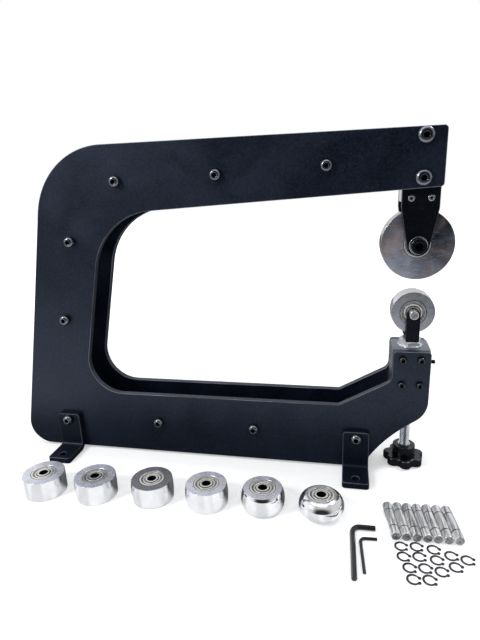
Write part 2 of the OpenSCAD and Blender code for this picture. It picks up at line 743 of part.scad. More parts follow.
yoke_screw_d = 6;
yoke_screw_l = 18;
module ram_post() color(bright) translate([heads_x - origin_x, 0, ram_low]) difference() {
    cylinder(d = ram_d, h = ram_l);
    translate([0, 0, -1]) cylinder(d = tip_d + 2 * run_gap, h = tip_l + 2);
    translate([0, 0, ram_l + yoke_base_t - yoke_screw_l - 1])
        cylinder(d = yoke_screw_d + 2 * run_gap, h = yoke_screw_l);
    // Keyway for the guide screw, open at the lower end
    translate([ram_d / 2 - keyway_depth, -key_screw_d / 2, -1])
        cube([ram_d, key_screw_d, ram_l - 14]);
}

module thrust_washer() color("#a8863e")
    translate([heads_x - origin_x, 0, shoulder_z]) difference() {
        cylinder(d = ram_d - 0.6, h = washer_t);
        translate([0, 0, -1]) cylinder(d = tip_d + 2 * hole_gap, h = washer_t + 2);
    }

// Yoke: a base on the ram and two arms with open half-round seats for the anvil's pin
module yoke() color(black) translate([heads_x - origin_x, 0, 0]) difference() {
    horn_top = anvil_z + horn_h;
    tip_r = 2;
    translate([0, yoke_out, yoke_low]) rotate([90, 0, 0]) linear_extrude(2 * yoke_out)
        rounded_outline([[-yoke_w / 2, 0, 2], [yoke_w / 2, 0, 2],
            [yoke_w / 2, horn_top - yoke_low, 1], [-yoke_w / 2, horn_top - yoke_low, 1]]);
    translate([-yoke_w, -yoke_in, yoke_low + yoke_base_t])
        cube([2 * yoke_w, 2 * yoke_in, horn_top]);
    translate([0, yoke_out + 1, anvil_z]) rotate([90, 0, 0])
        cylinder(d = pin_d + 2 * seat_gap, h = 2 * yoke_out + 2);
    translate([-pin_d / 2 - seat_gap, -yoke_out - 1, anvil_z])
        cube([pin_d + 2 * seat_gap, 2 * yoke_out + 2, horn_h + tip_r]);
    translate([0, 0, yoke_low - 1]) cylinder(d = yoke_screw_d + 2 * hole_gap, h = yoke_base_t + 2);
    translate([0, 0, yoke_low + yoke_base_t - 3.2])
        cylinder(d1 = yoke_screw_d + 2 * hole_gap, d2 = yoke_screw_d + 6.6, h = 3.2 + eps);
}

module yoke_screw() color(steel)
    translate([heads_x - origin_x, 0, yoke_low + yoke_base_t]) difference() {
        union() {
            translate([0, 0, -yoke_screw_l]) cylinder(d = yoke_screw_d, h = yoke_screw_l - 1);
            translate([0, 0, -3.1]) cylinder(d1 = yoke_screw_d, d2 = yoke_screw_d + 6, h = 3);
        }
        translate([0, 0, -2.2]) cylinder(d = 4 / cos(30), h = 3, $fn = 6);
    }

knob_grip_depth = 17;
module lead_screw() color(bright) translate([heads_x - origin_x, 0, 0]) {
    low = knob_top - knob_grip_depth;
    translate([0, 0, low]) cylinder(d = screw_d, h = shoulder_z - low);
    translate([0, 0, shoulder_z - eps]) cylinder(d = tip_d, h = tip_l + eps);
}

insert_d = 15.4;
module star_knob() color(black) translate([heads_x - origin_x, 0, knob_low]) {
    reach = knob_d / 2 - lobe_r;
    bevel = 2;
    hub_top = knob_grip_h + knob_hub_h;
    difference() {
        union() {
            // Lobes round a disc, their outer edges bevelled by a turned blank
            intersection() {
                linear_extrude(knob_grip_h) {
                    circle(r = knob_d / 2 - 4.5);
                    for (i = [0:knob_lobes - 1]) rotate(360 * (i + 0.3) / knob_lobes)
                        translate([reach, 0]) circle(r = lobe_r);
                }
                rotate_extrude() polygon([[0, -1], [knob_d / 2 - bevel - 1, -1],
                    [knob_d / 2 + bevel, bevel + 2], [knob_d / 2 + bevel, knob_grip_h - bevel - 2],
                    [knob_d / 2 - bevel - 1, knob_grip_h + 1], [0, knob_grip_h + 1]]);
            }
            rotate_extrude() polygon([[0, 1], [knob_hub_d / 2, 1], [knob_hub_d / 2, hub_top - 1],
                [knob_hub_d / 2 - 1, hub_top], [0, hub_top]]);
        }
        // Groove round the foot of the hub
        translate([0, 0, knob_grip_h - 1.5]) rotate_extrude()
            translate([knob_hub_d / 2, 0]) square([2, 3]);
        translate([0, 0, hub_top - knob_grip_depth - 0.5])
            cylinder(d = insert_d + 2 * run_gap, h = knob_grip_depth + 2);
    }
}

// Threaded metal insert moulded into the knob, its rim showing round the screw
module knob_insert() color(bright) translate([heads_x - origin_x, 0, knob_top]) difference() {
    union() {
        translate([0, 0, -knob_grip_depth]) cylinder(d = insert_d, h = knob_grip_depth);
        cylinder(d = insert_d, h = 1);
    }
    translate([0, 0, -knob_grip_depth - 1])
        cylinder(d = screw_d + 2 * run_gap, h = knob_grip_depth + 3);
}

module spare_anvil(i) color(steel)
    translate([spare_anvil_spots[i][0], spare_anvil_spots[i][1], anvil_w / 2])
        wheel_body(anvil_d, anvil_w, spare_crown_r[i]);
module spare_bearings(i) color(shield)
    translate([spare_anvil_spots[i][0], spare_anvil_spots[i][1], anvil_w / 2])
        both_ends(anvil_w) {
            outer_ring();
            inner_ring();
        }

module spare_pins() color(bright) for (i = [0:spare_pin_count - 1])
    translate([spare_pin_spot[0] + spare_pin_pitch * i, spare_pin_spot[1] + 0.4 * i, pin_d / 2])
        rotate([0, 0, 6.4]) rotate([90, 0, 0]) pin_body();

module spare_circlips() color(black) for (i = [0:len(spare_circlip_spots) - 1])
    translate(concat(spare_circlip_spots[i], 0)) rotate(-6 - 5 * (i % 3)) circlip_body();

// Hexagon key lying on the bench, its bend at the origin, a long arm towards -Y and a
// short one towards +X. The bend is drawn a little thinner, as it is on a bent bar.
module hex_key(flats, long_l, short_l) {
    bend = 1.6 * flats;
    thinned = flats - 0.1;
    translate([0, 0, flats / 2]) {
        rotate([90, 0, 0]) translate([0, 0, bend])
            cylinder(d = flats / cos(30), h = long_l - bend, $fn = 6);
        rotate([0, 90, 0]) translate([0, 0, bend]) rotate(30)
            cylinder(d = flats / cos(30), h = short_l - bend, $fn = 6);
        translate([bend, -bend, 0]) rotate(90) rotate_extrude(angle = 90)
            translate([bend, 0]) circle(d = thinned / cos(30), $fn = 6);
    }
}
module hex_key_large() color(black) translate(concat(large_key_spot, 0)) rotate(1)
    hex_key(large_key_flats, large_key_l, large_key_short);
module hex_key_small() color(black) translate(concat(small_key_spot, 0)) rotate(3.5)
    hex_key(small_key_flats, small_key_l, small_key_short);

side_plate_front();
side_plate_rear();
frame_spacers();
frame_bolts();
bracket_front_left();
bracket_front_right();
bracket_rear_left();
bracket_rear_right();
bracket_bolts();
fork_plate_front();
fork_plate_rear();
fork_block();
fork_screws();
head_bolts();
head_nuts();
upper_axle();
upper_axle_nut();
upper_axle_washers();
upper_axle_spacers();
upper_inner_rings();
upper_wheel();
upper_outer_rings();
upper_balls();
guide_block();
block_screws();
guide_bush();
guide_screw();
lead_nut();
ram_post();
yoke();
yoke_screw();
thrust_washer();
anvil_pin();
anvil_circlips();
anvil_inner_rings();
anvil();
anvil_outer_rings();
anvil_balls();
lead_screw();
star_knob();
knob_insert();
spare_anvil(0);  // spare_anvil_1
spare_anvil(1);  // spare_anvil_2
spare_anvil(2);  // spare_anvil_3
spare_anvil(3);  // spare_anvil_4
spare_anvil(4);  // spare_anvil_5
spare_anvil(5);  // spare_anvil_6
spare_bearings(0);  // spare_bearings_1
spare_bearings(1);  // spare_bearings_2
spare_bearings(2);  // spare_bearings_3
spare_bearings(3);  // spare_bearings_4
spare_bearings(4);  // spare_bearings_5
spare_bearings(5);  // spare_bearings_6
spare_pins();
spare_circlips();
hex_key_large();
hex_key_small();
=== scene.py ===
import json
import logging
import math
from dataclasses import dataclass, field, replace
from enum import Enum
from typing import Callable, Dict, List, Optional, Sequence, Tuple

import bmesh
import bpy
import numpy as np
from bpy.types import Material, Mesh, Node, NodeSocket, NodeTree, Object
from mathutils import Matrix, Vector
from mathutils.geometry import delaunay_2d_cdt


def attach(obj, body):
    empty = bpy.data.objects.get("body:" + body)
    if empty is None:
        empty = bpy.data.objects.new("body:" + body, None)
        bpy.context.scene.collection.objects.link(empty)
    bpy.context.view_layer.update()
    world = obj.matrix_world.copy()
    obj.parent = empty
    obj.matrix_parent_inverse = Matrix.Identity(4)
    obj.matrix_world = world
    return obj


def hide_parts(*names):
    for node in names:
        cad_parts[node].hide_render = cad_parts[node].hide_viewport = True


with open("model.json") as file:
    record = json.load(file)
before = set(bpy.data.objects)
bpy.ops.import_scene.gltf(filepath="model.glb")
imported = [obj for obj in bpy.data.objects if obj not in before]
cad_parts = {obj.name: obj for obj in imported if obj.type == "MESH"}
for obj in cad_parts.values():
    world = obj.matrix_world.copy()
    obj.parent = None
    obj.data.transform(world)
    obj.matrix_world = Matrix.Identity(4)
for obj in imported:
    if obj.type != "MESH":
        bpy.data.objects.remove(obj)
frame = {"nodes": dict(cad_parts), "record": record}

MM = 0.001
SHARP_ANGLE = math.radians(40)
FLAT_ANGLE = 1e-4
CHAMFER_SLOPE = math.tan(math.radians(30))
THREAD_DEPTH = 0.61
THREAD_CORE = 0.7
LOG = logging.getLogger("english_wheel")
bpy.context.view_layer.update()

Array = np.ndarray
Loop = Tuple[Array, Array]
Pair = Tuple[float, float]
Triple = Tuple[float, float, float]
Colour = Triple


class Axis(Enum):
    """Direction that a turned piece's own Z axis points to, as the rows of a turn's matrix."""

    X = ((0, 0, 1), (1, 0, 0), (0, 1, 0))
    FRONT = ((1, 0, 0), (0, 0, -1), (0, 1, 0))
    REAR = ((1, 0, 0), (0, 0, 1), (0, -1, 0))


class Slot(Enum):
    """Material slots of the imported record."""

    COAT = "black_coat"
    OXIDE = "black_oxide"
    MACHINED = "machined_steel"
    PLATED = "plated_steel"
    POLISHED = "polished_steel"
    BEARING = "bearing_steel"
    BRONZE = "bronze"
    PLASTIC = "black_plastic"


# Surfaces


def tan_of(degrees: float) -> float:
    """The tangent of an angle in degrees."""
    return math.tan(math.radians(degrees))


@dataclass
class Shape:
    """Points in millimetres and faces of one piece.

    The share of each point is what its finish reads: 1 where a coated edge wears most and takes a
    painted highlight, on the side faces of a wheel, and in grooves, sockets and bores that are
    painted dark as oily dirt and shade, and 0 elsewhere.
    """

    points: Array
    faces: List[List[int]]
    share: Array

    @staticmethod
    def of(points: Array, faces: Array, share: Optional[Array] = None) -> "Shape":
        """A shape from arrays, with no share unless it is given.

        Args:
            points: the points, three numbers each.
            faces: the point numbers of each face.
            share: the share of each point.

        Returns:
            The shape.
        """
        flat = np.asarray(points, float).reshape(-1, 3)
        marked = np.zeros(len(flat)) if share is None else np.asarray(share, float).ravel()
        return Shape(flat, np.asarray(faces).tolist(), marked)

    def moved(self, offset: Sequence[float], turn: Optional[Array] = None) -> "Shape":
        """A copy that is turned by a 3 x 3 matrix and then moved."""
        points = self.points if turn is None else self.points @ np.asarray(turn, float).T
        return Shape(points + np.asarray(offset, float), self.faces, self.share)

    def along(self, axis: Axis, offset: Sequence[float]) -> "Shape":
        """A copy whose own Z axis points along axis, moved to offset."""
        return self.moved(offset, np.array(axis.value, float))

    def mapped(self, rule: Callable[[Array], Array]) -> "Shape":
        """A copy whose points are sent through a rule for arrays of points."""
        return Shape(rule(self.points), self.faces, self.share)


def joined(shapes: Sequence[Shape]) -> Shape:
    """One shape that holds several.

    Args:
        shapes: the shapes to put together.

    Returns:
        The points one after the other, and the faces counted on.
    """
    starts = np.cumsum([0] + [len(s.points) for s in shapes])
    faces = [[k + int(start) for k in face] for s, start in zip(shapes, starts) for face in s.faces]
    return Shape(np.concatenate([s.points for s in shapes]), faces,
                 np.concatenate([s.share for s in shapes]))


def grid_faces(rows: int, cols: int, wrap_rows: bool, wrap_cols: bool) -> Array:
    """Quads between neighbouring points of a grid.

    Args:
        rows: number of rows of points.
        cols: number of points in each row.
        wrap_rows: whether the last row joins the first.
        wrap_cols: whether the end of each row joins its start.

    Returns:
        An array of four point numbers for each quad.
    """
    i, j = np.meshgrid(np.arange(rows - (not wrap_rows)), np.arange(cols - (not wrap_cols)),
                       indexing="ij")
    down, right = (i + 1) % rows, (j + 1) % cols
    return np.stack([i * cols + j, down * cols + j, down * cols + right, i * cols + right],
                    -1).reshape(-1, 4)


def filleted(corners: Sequence[Sequence[float]], steps: int = 8, closed: bool = True) -> Loop:
    """A polyline whose corners are arcs.

    With unit vectors a and b from the corner to its neighbours and half the angle between them
    h, the arc's middle c lies r / sin h along a + b. Its points turn from the direction u of one
    touching point to v of the other: c + r (sin((1 - t) w) u + sin(t w) v) / sin w, where
    w = pi - 2 h.

    Args:
        corners: x, y and radius of each corner, counterclockwise round the material.
        steps: spans in each arc.
        closed: whether the last corner joins the first; ends of an open line stay sharp.

    Returns:
        Points and outward unit normals, one row each.
    """
    c = np.asarray(corners, float)
    if not closed:
        first, last = 2 * c[0] - c[1], 2 * c[-1] - c[-2]
        points, normals = filleted(np.vstack([first, c, last]), steps)
        points, normals = (v.reshape(len(c) + 2, steps + 1, 2)[1:-1] for v in (points, normals))
        return points.reshape(-1, 2), normals.reshape(-1, 2)
    p, r = c[:, :2], c[:, 2:3]
    a, b = np.roll(p, 1, 0) - p, np.roll(p, -1, 0) - p
    a /= np.linalg.norm(a, axis=1, keepdims=True)
    b /= np.linalg.norm(b, axis=1, keepdims=True)
    half = np.arccos(np.clip((a * b).sum(1, keepdims=True), -1, 1)) / 2
    bend = np.maximum(np.pi - 2 * half, 1e-6)
    touch_a, touch_b = p + a * r / np.tan(half), p + b * r / np.tan(half)
    side = np.sign(a[:, :1] * b[:, 1:] - a[:, 1:] * b[:, :1])
    out_a = side * np.stack([a[:, 1], -a[:, 0]], -1)
    out_b = side * np.stack([-b[:, 1], b[:, 0]], -1)
    middle = touch_a - out_a * r
    t = np.linspace(0, 1, steps + 1)[None, :, None]
    w = bend[:, None]
    spin = (np.sin((1 - t) * w) * out_a[:, None] + np.sin(t * w) * out_b[:, None]) / np.sin(w)
    points = middle[:, None] + r[:, None] * spin
    normals = -spin * side[:, None]
    return points.reshape(-1, 2), normals.reshape(-1, 2)


def round_hole(x: float, y: float, diameter: float, count: int = 40) -> Loop:
    """The rim of a hole: (x, y) + d / 2 (cos a, sin a), with a falling through a full turn.

    Args:
        x: the middle's first coordinate.
        y: the middle's second coordinate.
        diameter: of the hole.
        count: number of points.

    Returns:
        The points, clockwise, and unit normals towards the middle.
    """
    angle = -np.linspace(0, 2 * np.pi, count, endpoint=False)
    ray = np.stack([np.cos(angle), np.sin(angle)], -1)
    return np.array([x, y]) + ray * diameter / 2, -ray


def dense(loop: Loop, spacing: float) -> Loop:
    """A loop with points added along its sides, at even shares of each side.

    Args:
        loop: points and normals.
        spacing: the longest distance left between two points.

    Returns:
        The denser points and their normals.
    """
    points, normals = loop
    gap = np.linalg.norm(np.roll(points, -1, 0) - points, axis=1)
    count = np.maximum(np.ceil(gap / spacing).astype(int), 1)
    at = np.repeat(np.arange(len(points)), count)
    share = (np.arange(count.sum()) - np.repeat(np.cumsum(count) - count, count)) / count[at]
    nxt = (at + 1) % len(points)
    mix = [(1 - share)[:, None] * v[at] + share[:, None] * v[nxt] for v in (points, normals)]
    return mix[0], mix[1] / np.linalg.norm(mix[1], axis=1, keepdims=True)


def inside(points: Array, loops: Sequence[Array]) -> Array:
    """Whether points lie inside an odd number of closed loops.

    Args:
        points: one row each.
        loops: corners of each closed loop.

    Returns:
        True for a point whose ray towards +X crosses the loops an odd number of times.
    """
    odd = np.zeros(len(points), bool)
    for loop in loops:
        a, b = loop, np.roll(loop, -1, 0)
        x, y = points[:, :1], points[:, 1:]
        with np.errstate(divide="ignore", invalid="ignore"):
            cross = (b[:, 0] - a[:, 0]) * (y - a[:, 1]) / (b[:, 1] - a[:, 1]) + a[:, 0]
        odd ^= (((a[:, 1] > y) != (b[:, 1] > y)) & (x < cross)).sum(1) % 2 == 1
    return odd


def slab(loops: Sequence[Loop], thickness: float, edge: float, steps: int = 4) -> Shape:
    """A flat piece with rounded edges.

    Its rim is a function of the place s along a loop and of t across the edge: the loop's
    point less inset(t) times its normal, at depth(t), where inset and depth follow a quarter
    circle of radius edge at each face. The faces are triangles between the innermost loops.

    Args:
        loops: the outline, counterclockwise, and its holes, clockwise.
        thickness: distance between the faces, which lie at Z = 0 and Z = thickness.
        edge: radius of the edges.
        steps: spans in each quarter circle.

    Returns:
        A closed shape.
    """
    quarter = np.linspace(0, np.pi / 2, steps + 1)
    inset = edge * (1 - np.sin(quarter))
    depth = edge * (1 - np.cos(quarter))
    inset = np.concatenate([inset, inset[::-1]])
    depth = np.concatenate([depth, (thickness - depth)[::-1]])
    # the middle of each rounded edge gets the most share: wear, and a painted highlight where the
    # edge would catch light
    worn_and_highlight = np.concatenate([np.sin(2 * quarter), np.sin(2 * quarter)[::-1]])
    parts = []
    for points, normals in loops:
        rim = points[None] - inset[:, None, None] * normals[None]
        z = np.broadcast_to(depth[:, None, None], rim.shape[:2] + (1,))
        wear = np.broadcast_to(worn_and_highlight[:, None], rim.shape[:2])
        parts.append(Shape.of(np.concatenate([rim, z], -1),
                              grid_faces(len(inset), len(points), False, True), wear))
    inner = [points - edge * normals for points, normals in loops]
    flat = np.concatenate(inner)
    starts = np.cumsum([0] + [len(v) for v in inner])
    ties = [(int(s) + k, int(s) + (k + 1) % len(v)) for s, v in zip(starts, inner)
            for k in range(len(v))]
    found = delaunay_2d_cdt([Vector(p) for p in flat], ties, [], 0, 1e-7, False)
    corner = np.array([tuple(v) for v in found[0]])
    faces = np.array(found[2])
    faces = faces[inside(corner[faces].mean(1), inner)]
    for z in (0.0, thickness):
        parts.append(Shape.of(np.column_stack([corner, np.full(len(corner), z)]), faces))
    return joined(parts)


def hexagon(angle: Array) -> Array:
    """Distance to a hexagon's side over half its width across flats, by angle."""
    sixth = np.pi / 3
    return 1 / np.cos((angle + sixth / 2) % sixth - sixth / 2)


def turned(rows: Sequence[Sequence[float]], segments: int = 48, closed: bool = False,
           outline: Callable[[Array], Array] = hexagon) -> Shape:
    """A piece that is round or hexagonal about Z.

    At the angle a, row k lies at radius r (1 - s + s outline(a)), where s is its share of the
    outline, and at height z + c (radius - r), where c is the slope of a chamfer.

    Args:
        rows: r, z, and if need be s, c and the finish's share of each row along the profile.
        segments: points round the axis, a multiple of 12.
        closed: whether the profile's last row joins its first, as on a ring.
        outline: distance to the outline over its least radius, by angle.

    Returns:
        A closed shape if the profile is closed or both its ends have no radius.
    """
    table = np.array([list(row) + [0.0] * (5 - len(row)) for row in rows])
    r, z, share, slope, mark = (table[:, k:k + 1] for k in range(5))
    angle = np.linspace(0, 2 * np.pi, segments, endpoint=False)[None]
    radius = r * (1 - share + share * outline(angle))
    height = z + slope * (radius - r)
    points = np.stack([radius * np.cos(angle), radius * np.sin(angle), height], -1)
    return Shape.of(points, grid_faces(len(table), segments, closed, True),
                    np.broadcast_to(mark, radius.shape))


def arc_rows(r: float, z: float, radius: float, start: float, end: float,
             steps: int = 5) -> List[Pair]:
    """Profile rows on an arc: (r + R cos a, z + R sin a).

    Args:
        r: the arc's middle, from the axis.
        z: the arc's middle, upwards.
        radius: R.
        start: first angle a in degrees.
        end: last angle in degrees.
        steps: spans in the arc.

    Returns:
        One pair of r and z a point.
    """
    angle = np.radians(np.linspace(start, end, steps + 1))
    return list(zip((r + radius * np.cos(angle)).tolist(), (z + radius * np.sin(angle)).tolist()))


def ring(inner: float, outer: float, low: float, high: float, edge: float,
         segments: int = 64, shaded_walls: float = 0.0) -> Shape:
    """A round ring about Z with rounded edges.

    Args:
        inner: radius of its bore.
        outer: radius of its outside.
        low: height of its lower face.
        high: height of its upper face.
        edge: radius of its edges.
        segments: points round the axis.
        shaded_walls: the finish's share on the bore and the outside, which fades over the edges; on
            bearing races it paints the bore dark as shade.

    Returns:
        A closed shape.
    """
    points, normals = filleted([(inner, low, edge), (outer, low, edge), (outer, high, edge),
                                (inner, high, edge)], 3)
    rows = np.zeros((len(points), 5))
    rows[:, :2], rows[:, 4] = points, shaded_walls * np.abs(normals[:, 0]) ** 0.3
    return turned(rows.tolist(), segments, True)


def threaded(diameter: float, pitch: float, low: float, high: float, steps: int = 6,
             segments: int = 36) -> Shape:
    """A screw thread about Z.

    The surface runs along one helix: at the turn count u its height is low + pitch u, cut off
    at the ends. Across one pitch its radius is R - depth w, where w = 1.3 (1 - |1 - 2 f|) - 0.15
    kept between 0 and 1 at the share f of the pitch. Within a pitch of an end the crests sink.

    Args:
        diameter: over the crests.
        pitch: height of one turn.
        low: height of the lower end.
        high: height of the upper end.
        steps: points across one pitch.
        segments: points round one turn.

    Returns:
        A closed shape, its ends capped on the axis.
    """
    depth, wide = THREAD_DEPTH * pitch, diameter / 2
    root, core_r = wide - depth, wide - THREAD_CORE * pitch
    turns = int(np.ceil((high - low) / pitch)) + 1
    share = np.arange(turns * steps + 1) / steps
    angle = np.arange(segments + 1) / segments
    lift = share[:, None] + angle[None] - 1
    height = np.clip(low + pitch * lift, low, high)
    wave = np.clip(1.3 * (1 - np.abs(1 - 2 * (share % 1)))[:, None] - 0.15, 0, 1)
    ease = np.clip(np.minimum(height - low, high - height) / pitch, 0, 1)
    radius = wide - depth * (wave + (1 - wave) * 0.5 * (1 - ease))
    spin = 2 * np.pi * angle[None]
    points = np.stack([radius * np.cos(spin), radius * np.sin(spin), height], -1)
    body = Shape.of(points, grid_faces(len(share), segments + 1, False, False))
    lowest = turned([(0, low), (root, low + 0.02)], segments)
    highest = turned([(root, high - 0.02), (0, high)], segments)
    core = turned([(0, low + 0.01), (core_r, low + 0.01), (core_r, high - 0.01),
                   (0, high - 0.01)], segments)
    return joined([body, lowest, highest, core])


def swept(path: Array, section: Array, taper: float) -> Shape:
    """A bar along a path in the XY plane.

    The point at the place s along the path and at v round the section is
    path(s) + section_x(v) * side(s) + section_y(v) * Z. Both ends are chamfered and closed.

    Args:
        path: the bar's middle, one row of x, y, z a point.
        section: the outline across the bar, one row of two numbers a point.
        taper: length and depth of the chamfer at each end.

    Returns:
        A closed shape.
    """
    way = np.gradient(path, axis=0)
    way /= np.linalg.norm(way, axis=1, keepdims=True)
    cut = [path[0], path[0], path[0] + taper * way[0], *path[1:-1],
           path[-1] - taper * way[-1], path[-1], path[-1]]
    ways = [way[0]] * 3 + list(way[1:-1]) + [way[-1]] * 3
    reach = np.abs(section).max()
    size = [0, 1 - taper / reach] + [1] * (len(cut) - 4) + [1 - taper / reach, 0]
    cut, ways, size = np.array(cut), np.array(ways), np.array(size)[:, None, None]
    side = np.stack([-ways[:, 1], ways[:, 0], np.zeros(len(ways))], -1)
    points = cut[:, None] + size * (section[None, :, :1] * side[:, None]
                                    + section[None, :, 1:] * np.array([0, 0, 1.0]))
    return Shape.of(points, grid_faces(len(cut), len(section), False, True))


# Shader tools


class Tree:
    """Short words for building the nodes of a material or a group."""

    def __init__(self, tree: NodeTree) -> None:
        """Starts on an empty tree."""
        self.tree = tree
        self.tree.nodes.clear()

    def add(self, kind: str, settings: Optional[Dict[str, object]] = None,
            **inputs: object) -> Node:
        """Adds a node.

        Args:
            kind: the node's type name, without its ShaderNode prefix.
            settings: attributes of the node.
            inputs: values or sockets, by the input's name with _ for spaces, or in1, in2 for
                inputs that share a name.

        Returns:
            The node.
        """
        full = kind if kind.startswith("NodeGroup") else "ShaderNode" + kind
        node = self.tree.nodes.new(full)
        for name, value in (settings or {}).items():
            setattr(node, name, value)
        for name, value in inputs.items():
            number = name[2:]
            socket = (node.inputs[int(number)] if name.startswith("in") and number.isdigit()
                      else node.inputs[name.replace("_", " ")])
            if isinstance(value, NodeSocket):
                self.tree.links.new(value, socket)
            else:
                socket.default_value = value
        return node

    def effect(self, name: str, **inputs: object) -> Node:
        """A node of one of the shared groups."""
        return self.add("Group", {"node_tree": Groups.get(name)}, **inputs)

    def place(self) -> object:
        """Object coordinates."""
        return self.add("TexCoord").outputs["Object"]

    def share(self) -> object:
        """The share that the piece's mesh gives each point."""
        return self.add("Attribute", {"attribute_name": "share"}).outputs["Fac"]

    def math(self, operation: str, a: object, b: object = 0.0, c: object = 0.0) -> object:
        """The result of one Math node."""
        return self.add("Math", {"operation": operation}, in0=a, in1=b, in2=c).outputs[0]

    def times(self, a: object, b: object) -> object:
        """The product of two numbers."""
        return self.math("MULTIPLY", a, b)

    def times_plus(self, a: object, b: object, c: object) -> object:
        """The product of two numbers, and a third added."""
        return self.math("MULTIPLY_ADD", a, b, c)

    def vector(self, operation: str, a: object, b: object = (0, 0, 0)) -> object:
        """The vector that one Vector Math node gives."""
        return self.add("VectorMath", {"operation": operation}, in0=a, in1=b).outputs["Vector"]

    def measure(self, operation: str, a: object, b: object = (0, 0, 0)) -> object:
        """The number that one Vector Math node gives, such as a dot product."""
        return self.add("VectorMath", {"operation": operation}, in0=a, in1=b).outputs["Value"]

    def scaled(self, a: object, factor: object) -> object:
        """A vector or colour times a number."""
        return self.add("VectorMath", {"operation": "SCALE"}, in0=a, in3=factor).outputs[0]

    def noise(self, where: object, scale: object, detail: float = 2.0,
              roughness: float = 0.5, distortion: float = 0.0) -> object:
        """The value of a noise texture."""
        return self.add("TexNoise", Vector=where, Scale=scale, Detail=detail,
                        Roughness=roughness, Distortion=distortion).outputs[0]

    def noise_along(self, where: object, detail: float, roughness: float = 0.5) -> object:
        """The value of a noise texture along one line."""
        return self.add("TexNoise", {"noise_dimensions": "1D"}, W=where, Scale=1.0,
                        Detail=detail, Roughness=roughness).outputs[0]

    def spread(self, value: object, low: float, high: float, start: float = 0.0,
               end: float = 1.0) -> object:
        """A value between start and end sent to between low and high, smoothly."""
        return self.add("MapRange", {"interpolation_type": "SMOOTHSTEP"}, in0=value, in1=start,
                        in2=end, in3=low, in4=high).outputs[0]

    def mix(self, share: object, a: object, b: object) -> object:
        """A colour between two."""
        return self.add("Mix", {"data_type": "RGBA"}, in0=share, in6=a, in7=b).outputs[2]

    def between(self, share: object, a: object, b: object) -> object:
        """A number between two."""
        return self.add("Mix", {"data_type": "FLOAT"}, in0=share, in2=a, in3=b).outputs[0]

    def link(self, source: object, node: Node, name: str) -> None:
        """Joins a socket to a node's input."""
        self.tree.links.new(source, node.inputs[name])

    def bump(self, shader: Node, height: object, depth: float) -> None:
        """Feeds a height through a Bump node to the shader's normal."""
        node = self.add("Bump", Strength=1.0, Distance=depth, Height=height)
        self.link(node.outputs[0], shader, "Normal")


def shader_group(name: str, inputs: Dict[str, Tuple[str, object]],
                 outputs: Dict[str, str]) -> Tuple[Tree, object, object]:
    """An empty shader node group with named sockets.

    Args:
        name: the group's name.
        inputs: kind and value of each input, by name.
        outputs: kind of each output, by name.

    Returns:
        The tree's tools, the group's input node and its output node.
    """
    group = bpy.data.node_groups.new(name, "ShaderNodeTree")
    for title, (kind, value) in inputs.items():
        socket = group.interface.new_socket(title, in_out="INPUT", socket_type="NodeSocket" + kind)
        socket.default_value = value
    for title, kind in outputs.items():
        group.interface.new_socket(title, in_out="OUTPUT", socket_type="NodeSocket" + kind)
    tools = Tree(group)
    return tools, tools.add("NodeGroupInput"), tools.add("NodeGroupOutput")


class Groups:
    """Surface effects that several finishes share, each built once."""

    made: Dict[str, NodeTree] = {}

    @classmethod
    def get(cls, name: str) -> NodeTree:
        """The group of that name, built when it is first asked for."""
        if name not in cls.made:
            cls.made[name] = getattr(cls, name)()
        return cls.made[name]

    @staticmethod
    def turning_marks() -> NodeTree:
        """Fine rings that a lathe tool leaves round an axis along Axis through Centre.

        Returns:
            The group, with the rings as a height and as a streak.
        """
        t, entry, leave = shader_group(
            "turning_marks",
            {"Centre": ("Vector", (0, 0, 0)), "Axis": ("Vector", (0, 1, 0)),
             "Rings per metre": ("Float", 2000.0)},
            {"Height": "Float", "Streak": "Float"})
        away = t.vector("SUBTRACT", t.place(), entry.outputs["Centre"])
        depth = t.measure("DOT_PRODUCT", away, entry.outputs["Axis"])
        square = t.measure("DOT_PRODUCT", away, away)
        across = t.math("SUBTRACT", square, t.times(depth, depth))
        radius = t.math("SQRT", t.math("MAXIMUM", across, 0.0))
        line = t.times(t.math("ADD", radius, depth), entry.outputs["Rings per metre"])
        fine = t.noise_along(line, 4.0, 0.65)
        broad = t.noise_along(t.times(line, 0.06), 2.0)
        t.link(fine, leave, "Height")
        t.link(t.times_plus(fine, 0.5, t.times(broad, 0.5)), leave, "Streak")
        return t.tree

    @staticmethod
    def handling() -> NodeTree:
        """Soft smudges and thin scratches from use, as one value around a half.

        Returns:
            The group, with one value.
        """
        t, entry, leave = shader_group(
            "handling", {"Scale": ("Float", 60.0), "Scratches": ("Float", 0.3)},
            {"Value": "Float"})
        scale = entry.outputs["Scale"]
        cloud = t.noise(t.place(), scale, 4.0, distortion=0.6)
        stretched = t.vector("MULTIPLY", t.place(), (1.0, 1.0, 14.0))
        lines = t.noise(stretched, t.times(scale, 5.0))
        sharp = t.spread(lines, 0.0, 1.0, 0.62, 0.7)
        t.link(t.times_plus(sharp, entry.outputs["Scratches"], cloud), leave, "Value")
        return t.tree

    @staticmethod
    def fine_grain() -> NodeTree:
        """The orange-peel grain of a powder coat or of moulded plastic, and dust in it.

        Returns:
            The group, with the grain as a height and the dust as a mask.
        """
        t, entry, leave = shader_group(
            "fine_grain", {"Scale": ("Float", 900.0)}, {"Height": "Float", "Dust": "Float"})
        scale = entry.outputs["Scale"]
        coarse = t.noise(t.place(), scale, 2.0, 0.6)
        cells = t.add("TexVoronoi", {"feature": "SMOOTH_F1"}, Vector=t.place(),
                      Scale=t.times(scale, 1.7)).outputs[0]
        t.link(t.times_plus(cells, 0.6, coarse), leave, "Height")
        specks = t.add("TexVoronoi", Vector=t.place(), Scale=t.times(scale, 0.22)).outputs[0]
        t.link(t.spread(specks, 1.0, 0.0, 0.06, 0.1), leave, "Dust")
        return t.tree


# Finishes


WHITE: Colour = (1.0, 1.0, 1.0)


